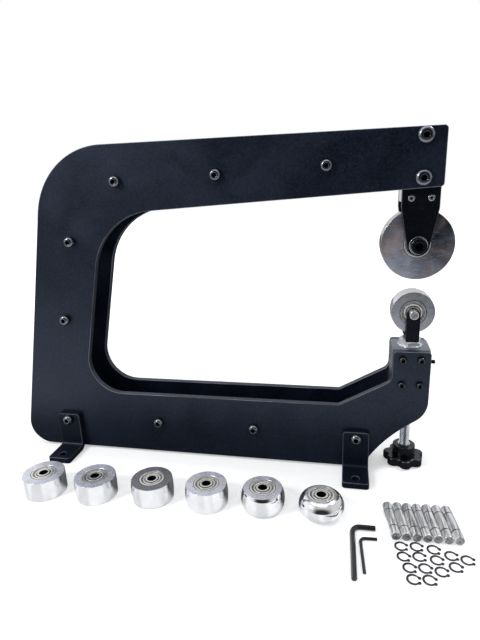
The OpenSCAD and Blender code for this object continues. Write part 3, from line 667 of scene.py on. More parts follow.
@dataclass(frozen=True)
class Finish:
    """A finish: its look, with the level and tint of its gloss, and its slot in the record."""

    name: str
    colour: Colour
    metallic: float = 1.0
    roughness: float = 0.2
    specular: float = 0.5
    tint: Colour = WHITE
    slot: Slot = Slot.OXIDE

    def material(self) -> Material:
        """The finish as a material, made once and kept apart from the CAD's materials.

        Returns:
            The material, which finishes of the same name share.
        """
        name = f"finish_{self.name}"
        found = bpy.data.materials.get(name)
        if found is None:
            found = bpy.data.materials.new(name)
            found.use_nodes = True
            found.diffuse_color = (*self.colour, 1.0)
            tree = Tree(found.node_tree)
            shader = tree.add("BsdfPrincipled", Base_Color=(*self.colour, 1.0),
                              Metallic=self.metallic, Roughness=self.roughness,
                              Specular_IOR_Level=self.specular,
                              Specular_Tint=(*self.tint, 1.0))
            self.dress(tree, shader)
            tree.link(shader.outputs[0], tree.add("OutputMaterial"), "Surface")
        return found

    def dress(self, t: Tree, shader: Node) -> None:
        """Adds the finish's own pattern; each kind of finish has its own.

        Args:
            t: the material's tree.
            shader: the shader that the pattern feeds.
        """
        raise NotImplementedError

    def shade(self, share: float) -> Tuple[float, float, float, float]:
        """The base colour made lighter or darker."""
        return (*(min(1.0, c * share) for c in self.colour), 1.0)


@dataclass(frozen=True)
class PowderCoat(Finish):
    """Satin powder coat with a fine grain, a little lighter along its edges, as wear and as a
    painted highlight.
    """

    slot: Slot = Slot.COAT
    grain: float = 900.0
    depth: float = 0.00002
    peel: float = 420.0
    patches: float = 16.0
    worn_and_highlight: Colour = (0.42, 0.43, 0.47)
    dust: Colour = (0.25, 0.26, 0.28)
    dust_share: float = 0.18

    def dress(self, t: Tree, shader: Node) -> None:
        """Grain as bump, soft patches as colour and roughness, a painted sheen speckle in the
        colour, and wear with a painted highlight on the edges.

        Args:
            t: the material's tree.
            shader: the shader that the pattern feeds.
        """
        grain = t.effect("fine_grain", Scale=self.grain)
        touch = t.effect("handling", Scale=self.patches, Scratches=0.15).outputs[0]
        patch = t.spread(touch, 0.0, 1.0, 0.3, 0.75)
        peel = t.spread(t.noise(t.place(), self.peel, 4.0, 0.7), 0.0, 1.0, 0.35, 0.65)
        # the orange-peel noise in the base colour is a painted sheen speckle; the patches are
        # random tone
        tone = t.mix(t.times_plus(patch, 0.25, t.times(peel, 0.75)), self.shade(0.05),
                     self.shade(2.05))
        # lighter edges: wear, and a painted highlight along the rounded edges
        worn_and_highlight = t.times(t.share(), t.spread(touch, 0.15, 0.6, 0.35, 0.65))
        tone = t.mix(worn_and_highlight, tone, (*self.worn_and_highlight, 1.0))
        tone = t.mix(t.times(grain.outputs["Dust"], self.dust_share), tone, (*self.dust, 1.0))
        rough = t.spread(touch, self.roughness - 0.06, self.roughness + 0.08, 0.3, 0.75)
        t.link(tone, shader, "Base Color")
        t.link(rough, shader, "Roughness")
        t.bump(shader, grain.outputs["Height"], self.depth)


@dataclass(frozen=True)
class TurnedSteel(Finish):
    """Steel turned about an axis: a polished tread, side faces with coarser marks.

    The side faces have their own tone and roughness, and carry a painted sheen: brighter towards
    one side, in fans, and tinted warm and cool. They are also mottled by handling.
    """

    slot: Slot = Slot.POLISHED
    centre: Triple = (0.0, 0.0, 0.0)
    axis: Triple = (0.0, 1.0, 0.0)
    rings: float = 2600.0
    depth: float = 0.00001
    smudges: float = 60.0
    streak: float = 0.1
    face_tone: float = 0.75
    face_roughness: float = 0.28
    # painted sheen: the side faces are painted brighter towards this direction
    painted_sheen_side: Triple = (-0.7, 0.0, -0.7)
    painted_sheen_share: float = 0.1
    mottle_and_sheen: float = 0.1
    face_metal: float = 1.0
    reflection_streaks: float = 0.15
    # warm and cool tint the painted sheen of the side faces
    warm: Colour = (1.06, 0.98, 0.97)
    cool: Colour = (0.94, 0.98, 1.1)

    def face_shade(self, t: Tree, away: object, patch: object, streak: object) -> object:
        """The side faces' tone: a painted sheen, brighter to one side and in fans, with smudges and
        rings.

        Args:
            t: the material's tree.
            away: the direction from the wheel's middle.
            patch: the smudges.
            streak: the turning marks.

        Returns:
            A socket with the tone.
        """
        # painted sheen: brighter towards one side, and in fans of light from the noise
        turn = t.measure("DOT_PRODUCT", away, self.painted_sheen_side)
        fans = t.math("SUBTRACT", t.noise(away, 2.6, 3.0, 0.6), 0.5)
        side = t.times_plus(turn, self.painted_sheen_share, t.times(fans, 4 * self.mottle_and_sheen))
        cloud = t.times_plus(t.math("SUBTRACT", patch, 0.5), 2 * self.mottle_and_sheen, side)
        tone = t.times(t.math("ADD", cloud, 1.0), self.face_tone)
        return t.times(tone, t.spread(streak, 1 - self.streak, 1 + self.streak, 0.3, 0.7))

    def tread_shade(self, t: Tree, off: object, patch: object) -> object:
        """The tread's tone: smudges, and painted streaks of dark reflection stretched along the
        axis.

        Args:
            t: the material's tree.
            off: the place from the wheel's middle.
            patch: the smudges.

        Returns:
            A socket with the tone.
        """
        depth = t.times(t.measure("DOT_PRODUCT", off, self.axis), 0.85)
        squeezed = t.vector("SUBTRACT", t.place(), t.scaled(self.axis, depth))
        # painted reflection: dark streaks along the axis stand in for dark surroundings seen in the
        # tread
        reflection_streaks = t.spread(t.noise(squeezed, 70.0, 1.0), 1 - self.reflection_streaks, 1.0, 0.36, 0.56)
        return t.times(t.spread(patch, 0.93, 1.0), reflection_streaks)

    def dress(self, t: Tree, shader: Node) -> None:
        """Rings as bump and streaks, smudges as roughness and tone.

        Args:
            t: the material's tree.
            shader: the shader that the pattern feeds.
        """
        marks = t.effect("turning_marks", Centre=self.centre, Axis=self.axis,
                         Rings_per_metre=self.rings)
        touch = t.effect("handling", Scale=self.smudges, Scratches=0.4).outputs[0]
        patch = t.spread(touch, 0.0, 1.0, 0.3, 0.8)
        face = t.share()
        off = t.vector("SUBTRACT", t.place(), self.centre)
        away = t.vector("NORMALIZE", off)
        tone = t.between(face, self.tread_shade(t, off, patch),
                         self.face_shade(t, away, patch, marks.outputs["Streak"]))
        warm, cool = (tuple(a * b for a, b in zip(self.colour, c)) + (1.0,)
                      for c in (self.warm, self.cool))
        # painted sheen: the side faces are tinted warm and cool by direction from the middle
        painted_sheen_hue = t.mix(t.spread(t.noise(away, 1.7), 1.0, 0.0, 0.4, 0.6), cool, warm)
        t.link(t.scaled(t.mix(face, (*self.colour, 1.0), painted_sheen_hue), tone), shader, "Base Color")
        if self.face_metal != self.metallic:
            t.link(t.between(face, self.metallic, self.face_metal), shader, "Metallic")
        rough = t.between(face, self.roughness, self.face_roughness)
        t.link(t.times(rough, t.spread(patch, 0.8, 1.25)), shader, "Roughness")
        t.bump(shader, marks.outputs["Height"], self.depth)


@dataclass(frozen=True)
class PolishedSteel(TurnedSteel):
    """Polished steel with faint turning marks."""

    colour: Colour = (0.9, 0.905, 0.925)
    roughness: float = 0.08
    rings: float = 5000.0
    depth: float = 0.0000012
    smudges: float = 90.0
    streak: float = 0.03
    face_roughness: float = 0.3
    warm: Colour = (0.98, 0.97, 1.02)
    cool: Colour = (0.94, 0.97, 1.1)


@dataclass(frozen=True)
class PlainMetal(Finish):
    """Metal without a direction: plated, oxidised or cast, with smudges, painted reflection streaks
    where asked, and grooves, sockets and bores painted dark as oily dirt and shade.
    """

    scale: float = 120.0
    depth: float = 0.000006
    scratches: float = 0.3
    reflection_streaks: float = 0.0
    oil_and_shade: Colour = (0.006, 0.006, 0.007)

    def dress(self, t: Tree, shader: Node) -> None:
        """Smudges as tone and roughness, painted reflection streaks where asked, a fine grain as
        bump, and oily dirt with painted shade where the share is 1.

        Args:
            t: the material's tree.
            shader: the shader that the pattern feeds.
        """
        grain = t.effect("fine_grain", Scale=self.scale * 14)
        touch = t.effect("handling", Scale=self.scale, Scratches=self.scratches).outputs[0]
        patch = t.spread(touch, 0.0, 1.0, 0.3, 0.8)
        groove = t.share()
        tone = t.mix(patch, self.shade(0.82), self.shade(1.1))
        if self.reflection_streaks:
            # painted reflection: dark lengthwise streaks, as a polished pin mirrors its
            # surroundings
            along_y = t.vector("MULTIPLY", t.place(), (1.0, 0.03, 1.0))
            lines = t.spread(t.noise(along_y, 520.0, 2.0, 0.7), 1.0, 0.0, 0.38, 0.5)
            tone = t.mix(t.times(lines, self.reflection_streaks), tone, self.shade(0.2))
        # where the share is 1 the colour turns dark: oily dirt, and painted shade in grooves,
        # sockets and bores
        t.link(t.mix(groove, tone, (*self.oil_and_shade, 1.0)), shader, "Base Color")
        rough = t.times_plus(patch, 0.5 * self.roughness, 0.75 * self.roughness)
        t.link(t.times_plus(groove, 0.35, rough), shader, "Roughness")
        t.bump(shader, grain.outputs["Height"], self.depth)


@dataclass(frozen=True)
class MilledBlockShadedTop(PlainMetal):
    """Milled steel, bright on its sides, with painted shade on its top."""

    # colour of the painted shade on the top
    top: Colour = (0.22, 0.25, 0.3)

    def dress(self, t: Tree, shader: Node) -> None:
        """The metal's own pattern, with painted shade where the surface faces up.

        Args:
            t: the material's tree.
            shader: the shader that the pattern feeds.
        """
        super().dress(t, shader)
        plain = shader.inputs["Base Color"].links[0].from_socket
        # painted shade: faces that point up turn to the darker top colour
        upward = t.add("SeparateXYZ", Vector=t.add("NewGeometry").outputs["Normal"]).outputs["Z"]
        t.link(t.mix(t.spread(upward, 0.0, 1.0, 0.5, 0.9), plain, (*self.top, 1.0)), shader,
               "Base Color")


@dataclass(frozen=True)
class Moulded(Finish):
    """Moulded black plastic with a faint grain and rubbed patches."""

    slot: Slot = Slot.PLASTIC
    grain: float = 1500.0
    depth: float = 0.00001

    def dress(self, t: Tree, shader: Node) -> None:
        """Grain as bump, rubbed patches as roughness.

        Args:
            t: the material's tree.
            shader: the shader that the pattern feeds.
        """
        grain = t.effect("fine_grain", Scale=self.grain)
        touch = t.effect("handling", Scale=50.0, Scratches=0.2).outputs[0]
        patch = t.spread(touch, 0.0, 1.0, 0.3, 0.75)
        rough = t.spread(touch, self.roughness - 0.05, self.roughness + 0.12, 0.3, 0.75)
        t.link(t.mix(patch, self.shade(0.8), self.shade(1.5)), shader, "Base Color")
        t.link(rough, shader, "Roughness")
        t.bump(shader, grain.outputs["Height"], self.depth)


COAT = PowderCoat("powder_coat", (0.0038, 0.0056, 0.0135), metallic=0.0, roughness=0.4,
                  specular=0.55, tint=(0.62, 0.74, 1.0))
# darker copy of the coat for the fork and the yoke: partly their own black, partly painted shade
# where they sit between the plates
FORK_COAT_SHADED = PowderCoat("fork_coat_shaded", (0.0016, 0.0018, 0.0035), metallic=0.0, roughness=0.42,
                       specular=0.2, tint=(0.7, 0.8, 1.0))
# darker copy of the coat for the brackets, a painted shade, with a fainter painted edge highlight
BRACKET_COAT_SHADED = PowderCoat("bracket_coat_shaded", (0.003, 0.0045, 0.011), metallic=0.0, roughness=0.42,
                          specular=0.3, tint=(0.62, 0.76, 1.0), worn_and_highlight=(0.16, 0.17, 0.21))
OXIDE = PlainMetal("black_oxide", (0.2, 0.215, 0.245), roughness=0.18, scale=150.0)
DEEP_OXIDE = replace(OXIDE, name="deep_oxide", colour=(0.07, 0.073, 0.085), roughness=0.22)
AXLE_OXIDE = replace(OXIDE, name="axle_oxide", colour=(0.03, 0.031, 0.037), roughness=0.2)
DARK_OXIDE = replace(OXIDE, name="dark_oxide", colour=(0.022, 0.0225, 0.029), metallic=0.0,
                     roughness=0.2)
CLIP_OXIDE = replace(OXIDE, name="clip_oxide", colour=(0.04, 0.041, 0.05), metallic=0.3,
                     roughness=0.25)
PLATED = PlainMetal("zinc_plate", (0.74, 0.78, 0.84), slot=Slot.PLATED, scale=90.0,
                    depth=0.000002)
BUSH_PLATE = replace(PLATED, name="bush_plate", colour=(0.9, 0.93, 0.98), metallic=0.45,
                     roughness=0.15)
FILLER_PLATE = replace(PLATED, slot=Slot.MACHINED)
PIN_STEEL = PlainMetal("pin_steel", (0.98, 0.99, 1.0), metallic=0.55, roughness=0.06,
                       slot=Slot.POLISHED, scale=90.0, depth=0.0, scratches=0.0, reflection_streaks=0.8)
MACHINED = PlainMetal("machined_steel", (0.42, 0.43, 0.46), roughness=0.33,
                      slot=Slot.MACHINED, scale=80.0)
BLOCK = MilledBlockShadedTop("milled_block_shaded_top", (0.62, 0.63, 0.66), roughness=0.33, slot=Slot.MACHINED,
                    scale=80.0)
SHIELD = PlainMetal("bearing_shield", (0.86, 0.84, 0.79), metallic=0.7, roughness=0.34,
                    slot=Slot.BEARING, scale=150.0)
RACE = replace(SHIELD, name="bearing_race", colour=(0.88, 0.88, 0.86), metallic=0.75,
               roughness=0.18)
# a darker race for the mounted anvil
DARK_RACE = replace(SHIELD, name="dark_race", colour=(0.42, 0.43, 0.46), metallic=0.9,
                    roughness=0.28)
BALL = replace(SHIELD, name="bearing_ball", colour=(0.82, 0.82, 0.83), metallic=1.0,
               roughness=0.08)
BRONZE = PlainMetal("bronze", (0.6, 0.4, 0.17), roughness=0.3, slot=Slot.BRONZE, scale=90.0)
PLASTIC = Moulded("black_plastic", (0.003, 0.0035, 0.005), metallic=0.0, roughness=0.17,
                  specular=0.6, tint=(0.82, 0.9, 1.0))


# Pieces


def linked(name: str, data: object) -> Object:
    """Puts a new object into the scene.

    Args:
        name: the object's name.
        data: the mesh, lamp or camera that it holds.

    Returns:
        The object.
    """
    item = bpy.data.objects.new(name, data)
    bpy.context.scene.collection.objects.link(item)
    return item


def make(name: str, shape: Shape, finish: Finish, body: str, replaces: Sequence[str] = (),
         flat: bool = False) -> None:
    """Turns a shape into a piece of the scene, at the origin with its place in its mesh.

    Args:
        name: the piece's name.
        shape: its points and faces, in millimetres.
        finish: what it is finished in.
        body: the CAD body that it rides on.
        replaces: CAD nodes that it stands for.
        flat: whether triangles that share a plane become one face, as on a slab.
    """
    mesh = bpy.data.meshes.new(name)
    mesh.from_pydata((shape.points * MM).tolist(), [], shape.faces)
    attribute = mesh.attributes.new("share", "FLOAT", "POINT")
    attribute.data.foreach_set("value", shape.share.astype(np.float32))
    weld(mesh, flat)
    register(linked(name, mesh), finish, body, replaces)


def weld(mesh: Mesh, flat: bool) -> None:
    """Merges doubled points, drops empty faces and turns the rest outwards.

    Args:
        mesh: the mesh to mend.
        flat: whether triangles that share a plane become one face.
    """
    work = bmesh.new()
    work.from_mesh(mesh)
    bmesh.ops.remove_doubles(work, verts=work.verts, dist=2e-7)
    bmesh.ops.dissolve_degenerate(work, dist=1e-8, edges=work.edges)
    bmesh.ops.recalc_face_normals(work, faces=work.faces)
    if flat:
        inner = [edge for edge in work.edges if len(edge.link_faces) == 2
                 and edge.calc_face_angle() < FLAT_ANGLE
                 and all(len(face.verts) == 3 for face in edge.link_faces)]
        bmesh.ops.dissolve_limit(work, angle_limit=FLAT_ANGLE, verts=[], edges=inner)
    work.to_mesh(mesh)
    work.free()


def register(piece: Object, finish: Finish, body: str, replaces: Sequence[str]) -> None:
    """Finishes a piece, ties it to its body and CAD nodes, and reports it.

    Args:
        piece: the object.
        finish: what it is finished in.
        body: the CAD body that it rides on.
        replaces: CAD nodes that it stands for.
    """
    mesh = piece.data
    mesh.materials.clear()
    mesh.materials.append(finish.material())
    mesh.shade_smooth()
    mesh.set_sharp_from_angle(angle=SHARP_ANGLE)
    weighted = piece.modifiers.new("weighted", "WEIGHTED_NORMAL")
    weighted.keep_sharp = True
    weighted.weight = 80
    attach(piece, body)
    if replaces:
        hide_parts(*replaces)
    LOG.info("%s on %s: %d faces", piece.name, body, len(mesh.polygons))


def softened(name: str, node: str, finish: Finish, body: str, width: float) -> None:
    """A copy of a CAD node with its edges rounded by a live Bevel.

    Args:
        name: the new piece's name.
        node: the CAD node to copy, which the piece stands for.
        finish: what it is finished in.
        body: the CAD body that it rides on.
        width: width of the bevel in millimetres.
    """
    mesh = frame["nodes"][node].data.copy()
    mesh.name = name
    work = bmesh.new()
    work.from_mesh(mesh)
    bmesh.ops.remove_doubles(work, verts=work.verts, dist=1e-6)
    bmesh.ops.dissolve_limit(work, angle_limit=math.radians(1.0), verts=work.verts,
                             edges=work.edges)
    work.to_mesh(mesh)
    work.free()
    if mesh.has_custom_normals:
        mesh.attributes.remove(mesh.attributes["custom_normal"])
    piece = linked(name, mesh)
    bevel = piece.modifiers.new("edges", "BEVEL")
    bevel.width = width * MM
    bevel.segments = 3
    bevel.limit_method = "ANGLE"
    bevel.angle_limit = math.radians(35)
    bevel.use_clamp_overlap = True
    register(piece, finish, body, [node])


def in_metres(place: Sequence[float]) -> Tuple[float, ...]:
    """A place in metres, from one in millimetres."""
    return tuple(v * MM for v in place)


def spun(degrees: float) -> Array:
    """The matrix of a turn about Z."""
    a = math.radians(degrees)
    return np.array([[math.cos(a), -math.sin(a), 0], [math.sin(a), math.cos(a), 0], [0, 0, 1]])


def plate_pair(name: str, node: str, outline: Loop, holes: Sequence[Tuple[List[Pair], float]],
               thickness: float, edge: float, finish: Finish, fronts: Sequence[float]) -> None:
    """Two upright plates of one outline, on the front and on the rear of the frame.

    Args:
        name: what the pieces' names begin with.
        node: what the names of the CAD nodes begin with.
        outline: the plates' outline in X and Z.
        holes: for each kind of hole, where it is in X and Z, and its diameter.
        thickness: of a plate.
        edge: radius of its edges.
        finish: what it is finished in.
        fronts: Y of each plate's front face.
    """
    rims = [round_hole(x, z, diameter) for spots, diameter in holes for x, z in spots]
    flat = slab([outline] + rims, thickness, edge)
    x, z, depth = flat.points.T
    for side, y in zip(("front", "rear"), fronts):
        upright = Shape(np.stack([x, y + depth, z], -1), flat.faces, flat.share)
        make(f"{name}_{side}", upright, finish, "frame", [f"{node}_{side}"], True)


def front_and_rear(one: Shape, spots: Sequence[Pair], seat: float) -> Shape:
    """Copies of a screw or washer at each spot in X and Z, facing out at y = -seat and seat."""
    return joined([one.along(axis, (x, side * seat, z)) for x, z in spots
                   for axis, side in ((Axis.FRONT, -1), (Axis.REAR, 1))])


@dataclass
class Fastener:
    """A socket screw: head, socket and shank, standing on Z = 0 with its head upwards.

    The socket's floor and the dome's foot are shares of the head's height.
    """

    head_d: float
    head_h: float
    socket: float
    shank_d: float
    shank_l: float
    domed: bool = True
    edge: float = 0.6
    socket_floor: float = 0.42
    dome_foot: float = 0.3

    def shape(self) -> Shape:
        """The screw's surface from the bottom of its socket to the end of its shank.

        Returns:
            A closed shape.
        """
        top, wide, half = self.head_h, self.head_d / 2, self.socket / 2
        floor = self.socket_floor * top
        rim = half / math.cos(math.pi / 6) + 0.25
        # the socket's rows carry share 1, painted dark as the shade in the hole
        rows = [(0, floor, 0, 0, 1), (half, floor, 1, 0, 1), (half, top - 0.3, 1, 0, 1),
                (rim, top), (rim + 0.3, top)]
        if self.domed:
            low, flat = self.dome_foot * top, rim + 0.35
            rise = np.linspace(0, np.pi / 2, 11)[1:]
            rows += [(flat + (wide - flat) * math.sin(a), low + (top - low) * math.cos(a))
                     for a in rise]
        else:
            rows += arc_rows(wide - self.edge, top - self.edge, self.edge, 90, 0)
        rows += [(wide, 0.25), (wide - 0.25, 0), (self.shank_d / 2, 0),
                 (self.shank_d / 2, -self.shank_l), (0, -self.shank_l)]
        return turned(rows, 48)


def hex_nut(flats: float, height: float, bore: float) -> Shape:
    """A hexagon nut standing on Z = 0, chamfered at both ends, two corners along its own X.

    Args:
        flats: width across flats.
        height: of the nut.
        bore: radius of its bore.

    Returns:
        A closed shape.
    """
    half, slope = flats / 2, CHAMFER_SLOPE
    face, mouth, lead = half - 0.4, bore + 0.5, 0.25
    rows = [(mouth, 0), (face, 0), (half, lead, 1.0, slope), (half, height - lead, 1.0, -slope),
            (face, height), (mouth, height), (bore, height - 0.5), (bore, 0.5)]
    return turned(rows, 72, True, lambda angle: hexagon(angle + np.pi / 6))


@dataclass
class Bearing:
    """A shielded ball bearing about Z: its races, and its shields one step below the face."""

    bore: float = 10.0
    outer: float = 30.0
    width: float = 9.0
    wall: float = 2.9
    run_gap: float = 0.05
    edge: float = 0.6
    shield_in: float = 0.3

    def outer_race(self, low: float) -> Shape:
        """The outer race from the height low."""
        return ring(self.outer / 2 - self.wall, self.outer / 2 - self.run_gap, low,
                    low + self.width, self.edge, 96, 1.0)

    def inner_race(self, low: float) -> Shape:
        """The inner race from the height low."""
        return ring(self.bore / 2 + self.run_gap, self.bore / 2 + self.wall, low,
                    low + self.width, self.edge, 96, 1.0)

    def shields(self, low: float) -> Shape:
        """Both pressed shields: a crimped rim, a groove, a flat and a turned-in lip, with the rim,
        the groove and the lip painted dark as oily dirt and shade.

        Each corner of the profile has its radius from the axis, its depth under the shield's
        face, its own rounding and the finish's share.

        Args:
            low: height of the bearing's lower face.

        Returns:
            Two closed rings.
        """
        rim, lip = self.outer / 2 - self.wall + 0.2, self.bore / 2 + self.wall + 0.3
        face = [(rim, 0.05, 0.2, 1), (rim - 0.7, 0.0, 0.25, 0), (rim - 1.0, 0.42, 0.2, 1),
                (rim - 1.5, 0.42, 0.2, 1), (rim - 1.8, 0.1, 0.2, 0), (lip + 0.5, 0.1, 0.25, 0),
                (lip, 0.5, 0.1, 1), (lip, 0.62, 0.1, 1), (lip + 0.4, 0.55, 0.2, 1),
                (rim - 1.9, 0.4, 0.2, 1), (rim - 1.55, 0.62, 0.2, 1), (rim - 0.9, 0.62, 0.2, 1),
                (rim - 0.6, 0.35, 0.2, 1), (rim, 0.35, 0.1, 1)]
        points, _ = filleted([corner[:3] for corner in face], 2)
        rows = np.zeros((len(points), 5))
        rows[:, 0] = points[:, 0]
        rows[:, 4] = np.repeat([corner[3] for corner in face], 3)
        parts = []
        for start, sign in ((low + self.shield_in, 1), (low + self.width - self.shield_in, -1)):
            rows[:, 1] = start + sign * points[:, 1]
            parts.append(turned(rows.tolist(), 96, True))
        return joined(parts)


@dataclass
class Wheel:
    """A wheel body centred on Z = 0 with a bearing seat at each end; no crown means flat."""

    diameter: float
    width: float
    crown: float = 0.0
    edge: float = 0.5
    bearing: Bearing = field(default_factory=Bearing)

    def shape(self) -> Shape:
        """The wheel's profile, half of it mirrored, turned about Z.

        At the height z the tread's radius is R - c + sqrt(c^2 - z^2) for a crown of radius c.

        Returns:
            A closed shape whose share is 1 on its side faces.
        """
        half, seat, big = self.width / 2, self.bearing.outer / 2, self.diameter / 2
        z = np.linspace(0, half, 25)
        tread = (big - self.crown + np.sqrt(self.crown ** 2 - z ** 2) if self.crown
                 else np.full_like(z, big))
        cut = half - self.edge
        side = np.interp(cut, z, tread)
        tip = np.interp(half, z, tread) if self.crown else big
        upper = [(float(r), float(h)) for r, h in zip(tread, z) if h < cut - 0.05]
        corner, _ = filleted([(float(side), cut - self.edge, 0), (float(tip), half, self.edge),
                              (seat + 0.6, half, 0)], 6, closed=False)
        upper += [tuple(p) for p in corner[7:14].tolist()]
        floor = half - self.bearing.width
        upper += [(seat + 0.3, half), (seat, half - 0.3), (seat, floor), (seat - 2, floor)]
        lower = [(r, -h) for r, h in upper[::-1] if h > 0]
        body = turned(upper + lower, 192, True)
        flat = (np.abs(body.points[:, 2]) > cut + 0.2 * self.edge).astype(float)
        return Shape(body.points, body.faces, flat)

    def bearing_pair(self, part: Callable[[float], Shape]) -> Shape:
        """One of a bearing's parts in both seats."""
        return joined([part(low) for low in (-self.width / 2,
                                             self.width / 2 - self.bearing.width)])


@dataclass
class Layout:
    """Places that the sub-assemblies share, from part.scad."""

    origin_x: float = 271.0
    heads_x: float = 257.5
    frame_top: float = 407.0
    base_gap: float = 3.0
    plate_gap: float = 40.0
    plate_t: float = 8.0
    upper_axle_z: float = 283.0
    anvil_z: float = 203.3
    block_top: float = 160.0
    column_lean: float = 12.0
    frame_l: float = 550.0
    frame_h: float = 404.0
    head_h: float = 61.0
    head_w: float = 43.0
    head_bolt_z: Pair = (355.5, 398.0)
    head_hole_d: float = 10.4
    side_screw_x: float = 10.3
    block_screw_drops: Pair = (10.0, 41.5)

    @property
    def plate_out(self) -> float:
        """Distance from the middle to the outer face of a side plate."""
        return self.plate_gap / 2 + self.plate_t

    @property
    def head_bolts(self) -> List[Pair]:
        """X and Z of the two big bolts through the upper head."""
        return [(self.heads_x, z) for z in self.head_bolt_z]

    @property
    def upper_axle(self) -> List[Pair]:
        """X and Z of the upper wheel's axle."""
        return [(self.heads_x, self.upper_axle_z)]

    def side_screws(self, heights: Sequence[float]) -> List[Pair]:
        """X and Z of screws in two columns, at the same distance from the heads' middle."""
        return [(self.heads_x + s * self.side_screw_x, z) for s in (-1, 1) for z in heights]

    @property
    def block_screws(self) -> List[Pair]:
        """X and Z of the screws that hold the lower block."""
        return self.side_screws([self.block_top - drop for drop in self.block_screw_drops])


@dataclass
class SideFrame:
    """The C frame: two side plates, spacers, bolts and four bent brackets."""

    place: Layout
    rail_h: float = 84.0
    column_w: float = 85.0
    arm_slope: float = 3.0
    lower_head_h: float = 157.0
    slope_foot: float = 105.0
    slope_angle: float = 29.5
    heel_r: float = 30.0
    underside_corner_r: float = 3.0
    shoulder_r: float = 96.0
    throat_top_r: float = 86.0
    throat_bottom_r: float = 44.0
    slope_foot_r: float = 8.0
    neck_r: float = 12.0
    head_corner_r: float = 4.0
    chin_r: float = 31.0
    chin_h: float = 78.0
    chin_rise: float = 36.0
    underside_rise: float = 60.0
    underside_end: float = 75.0
    underside_r: float = 180.0
    edge: float = 0.8
    bolt_hole: float = 6.4
    block_hole: float = 5.4
    arm_bolts: Tuple[Pair, ...] = ((94, 43), (218, 40))
    head_end_bolt: Pair = (101, 35)
    column_bolt_h: Pair = (187, 290)
    column_bolt_shift: float = 5.0
    rail_bolts: Pair = (131, 262)
    spacer_d: float = 20.0
    spacer_bore_r: float = 3.05
    bolt_z: float = 47.0
    bracket_x: Pair = (75.0, 467.0)
    bracket_w: float = 32.0
    bracket_t: float = 8.0
    bracket_h: float = 55.0
    bracket_foot: float = 45.0
    bracket_corner_r: float = 4.0
    bracket_edge: float = 1.1
    bend_r: float = 4.0
    bench_hole_out: float = 34.0
    bench_hole_d: float = 9.0
    bolt: Fastener = field(default_factory=lambda: Fastener(
        head_d=14.0, head_h=7.0, socket=5.0, shank_d=6.0, shank_l=22.0))

    def outline(self) -> Loop:
        """The plate's outline from the heel, counterclockwise, with the same radii as the CAD.

        The head's underside and the chin are straight lines that meet at turn_x, turn_z. The
        hollow between them is as large as the shorter of the two allows.

        Returns:
            Points in X and Z, and outward normals.
        """
        p = self.place
        lean, rise = tan_of(p.column_lean), tan_of(self.arm_slope)
        chin, under = tan_of(self.chin_rise), tan_of(self.underside_rise)
        head_edge = p.frame_h - p.head_h
        throat_top = (head_edge - rise * (p.frame_l - self.column_w)) / (1 - rise * lean)
        slope_x, neck_x = p.frame_l - self.slope_foot, p.frame_l - p.head_w
        neck_z = self.rail_h + tan_of(self.slope_angle) * (neck_x - slope_x)
        end_x = p.frame_l - self.underside_end
        turn_x = (self.chin_h - chin * p.frame_l + under * end_x) / (under - chin)
        turn_z = under * (turn_x - end_x)
        swing = tan_of((self.underside_rise - self.chin_rise) / 2)
        reach = ((p.frame_l - turn_x) / math.cos(math.radians(self.chin_rise))
                 - self.chin_r * tan_of((90 - self.chin_rise) / 2) - 2)
        steep = turn_z / math.sin(math.radians(self.underside_rise)) - 4
        hollow = min(self.underside_r, reach / swing, steep / swing)
        corners = [
            (0, 0, self.heel_r), (end_x, 0, self.underside_corner_r), (turn_x, turn_z, hollow),
            (p.frame_l, self.chin_h, self.chin_r),
            (p.frame_l, self.lower_head_h, self.head_corner_r),
            (neck_x, self.lower_head_h, self.head_corner_r), (neck_x, neck_z, self.neck_r),
            (slope_x, self.rail_h, self.slope_foot_r),
            (self.column_w + lean * self.rail_h, self.rail_h, self.throat_bottom_r),
            (self.column_w + lean * throat_top, throat_top, self.throat_top_r),
            (p.frame_l, head_edge, self.head_corner_r),
            (p.frame_l, p.frame_h, self.head_corner_r),
            (lean * p.frame_h, p.frame_h, self.shoulder_r)]
        return filleted(corners, 24)

    def bolt_spots(self) -> List[Pair]:
        """The places of the plain frame bolts: arm, head, column and rail.

        Returns:
            X and Z of each bolt.
        """
        p = self.place
        lean = tan_of(p.column_lean)
        spots = [(self.column_w + x, p.frame_top - down) for x, down in self.arm_bolts]
        back, down = self.head_end_bolt
        spots += [(p.heads_x + p.origin_x - back, p.frame_top - down)]
        spots += [(self.column_w / 2 + lean * h + self.column_bolt_shift, p.base_gap + h)
                  for h in self.column_bolt_h]
        spots += [(self.bracket_x[0] + x, self.bolt_z) for x in self.rail_bolts]
        return [(x - p.origin_x, z) for x, z in spots]

    def bracket_spots(self) -> List[Pair]:
        """X and Z of each bracket bolt."""
        return [(x - self.place.origin_x, self.bolt_z) for x in self.bracket_x]

    def plates(self) -> None:
        """Both side plates, with the holes that their bolts pass."""
        p = self.place
        points, normals = self.outline()
        outline = (points + np.array([-p.origin_x, p.base_gap]), normals)
        holes = [(self.bolt_spots() + self.bracket_spots(), self.bolt_hole),
                 (p.head_bolts, p.head_hole_d), (p.block_screws, self.block_hole)]
        plate_pair("plate", "side_plate", outline, holes, p.plate_t, self.edge, COAT,
                   (-p.plate_out, p.plate_gap / 2))

    def spacers(self) -> None:
        """Round spacers between the plates, one at each frame and bracket bolt."""
        half = self.place.plate_gap / 2
        one = ring(self.spacer_bore_r, self.spacer_d / 2, -half, half, self.edge, 48)
        spots = self.bolt_spots() + self.bracket_spots()
        make("spacers", joined([one.along(Axis.REAR, (x, 0, z)) for x, z in spots]), OXIDE,
             "frame", ["frame_spacers"])

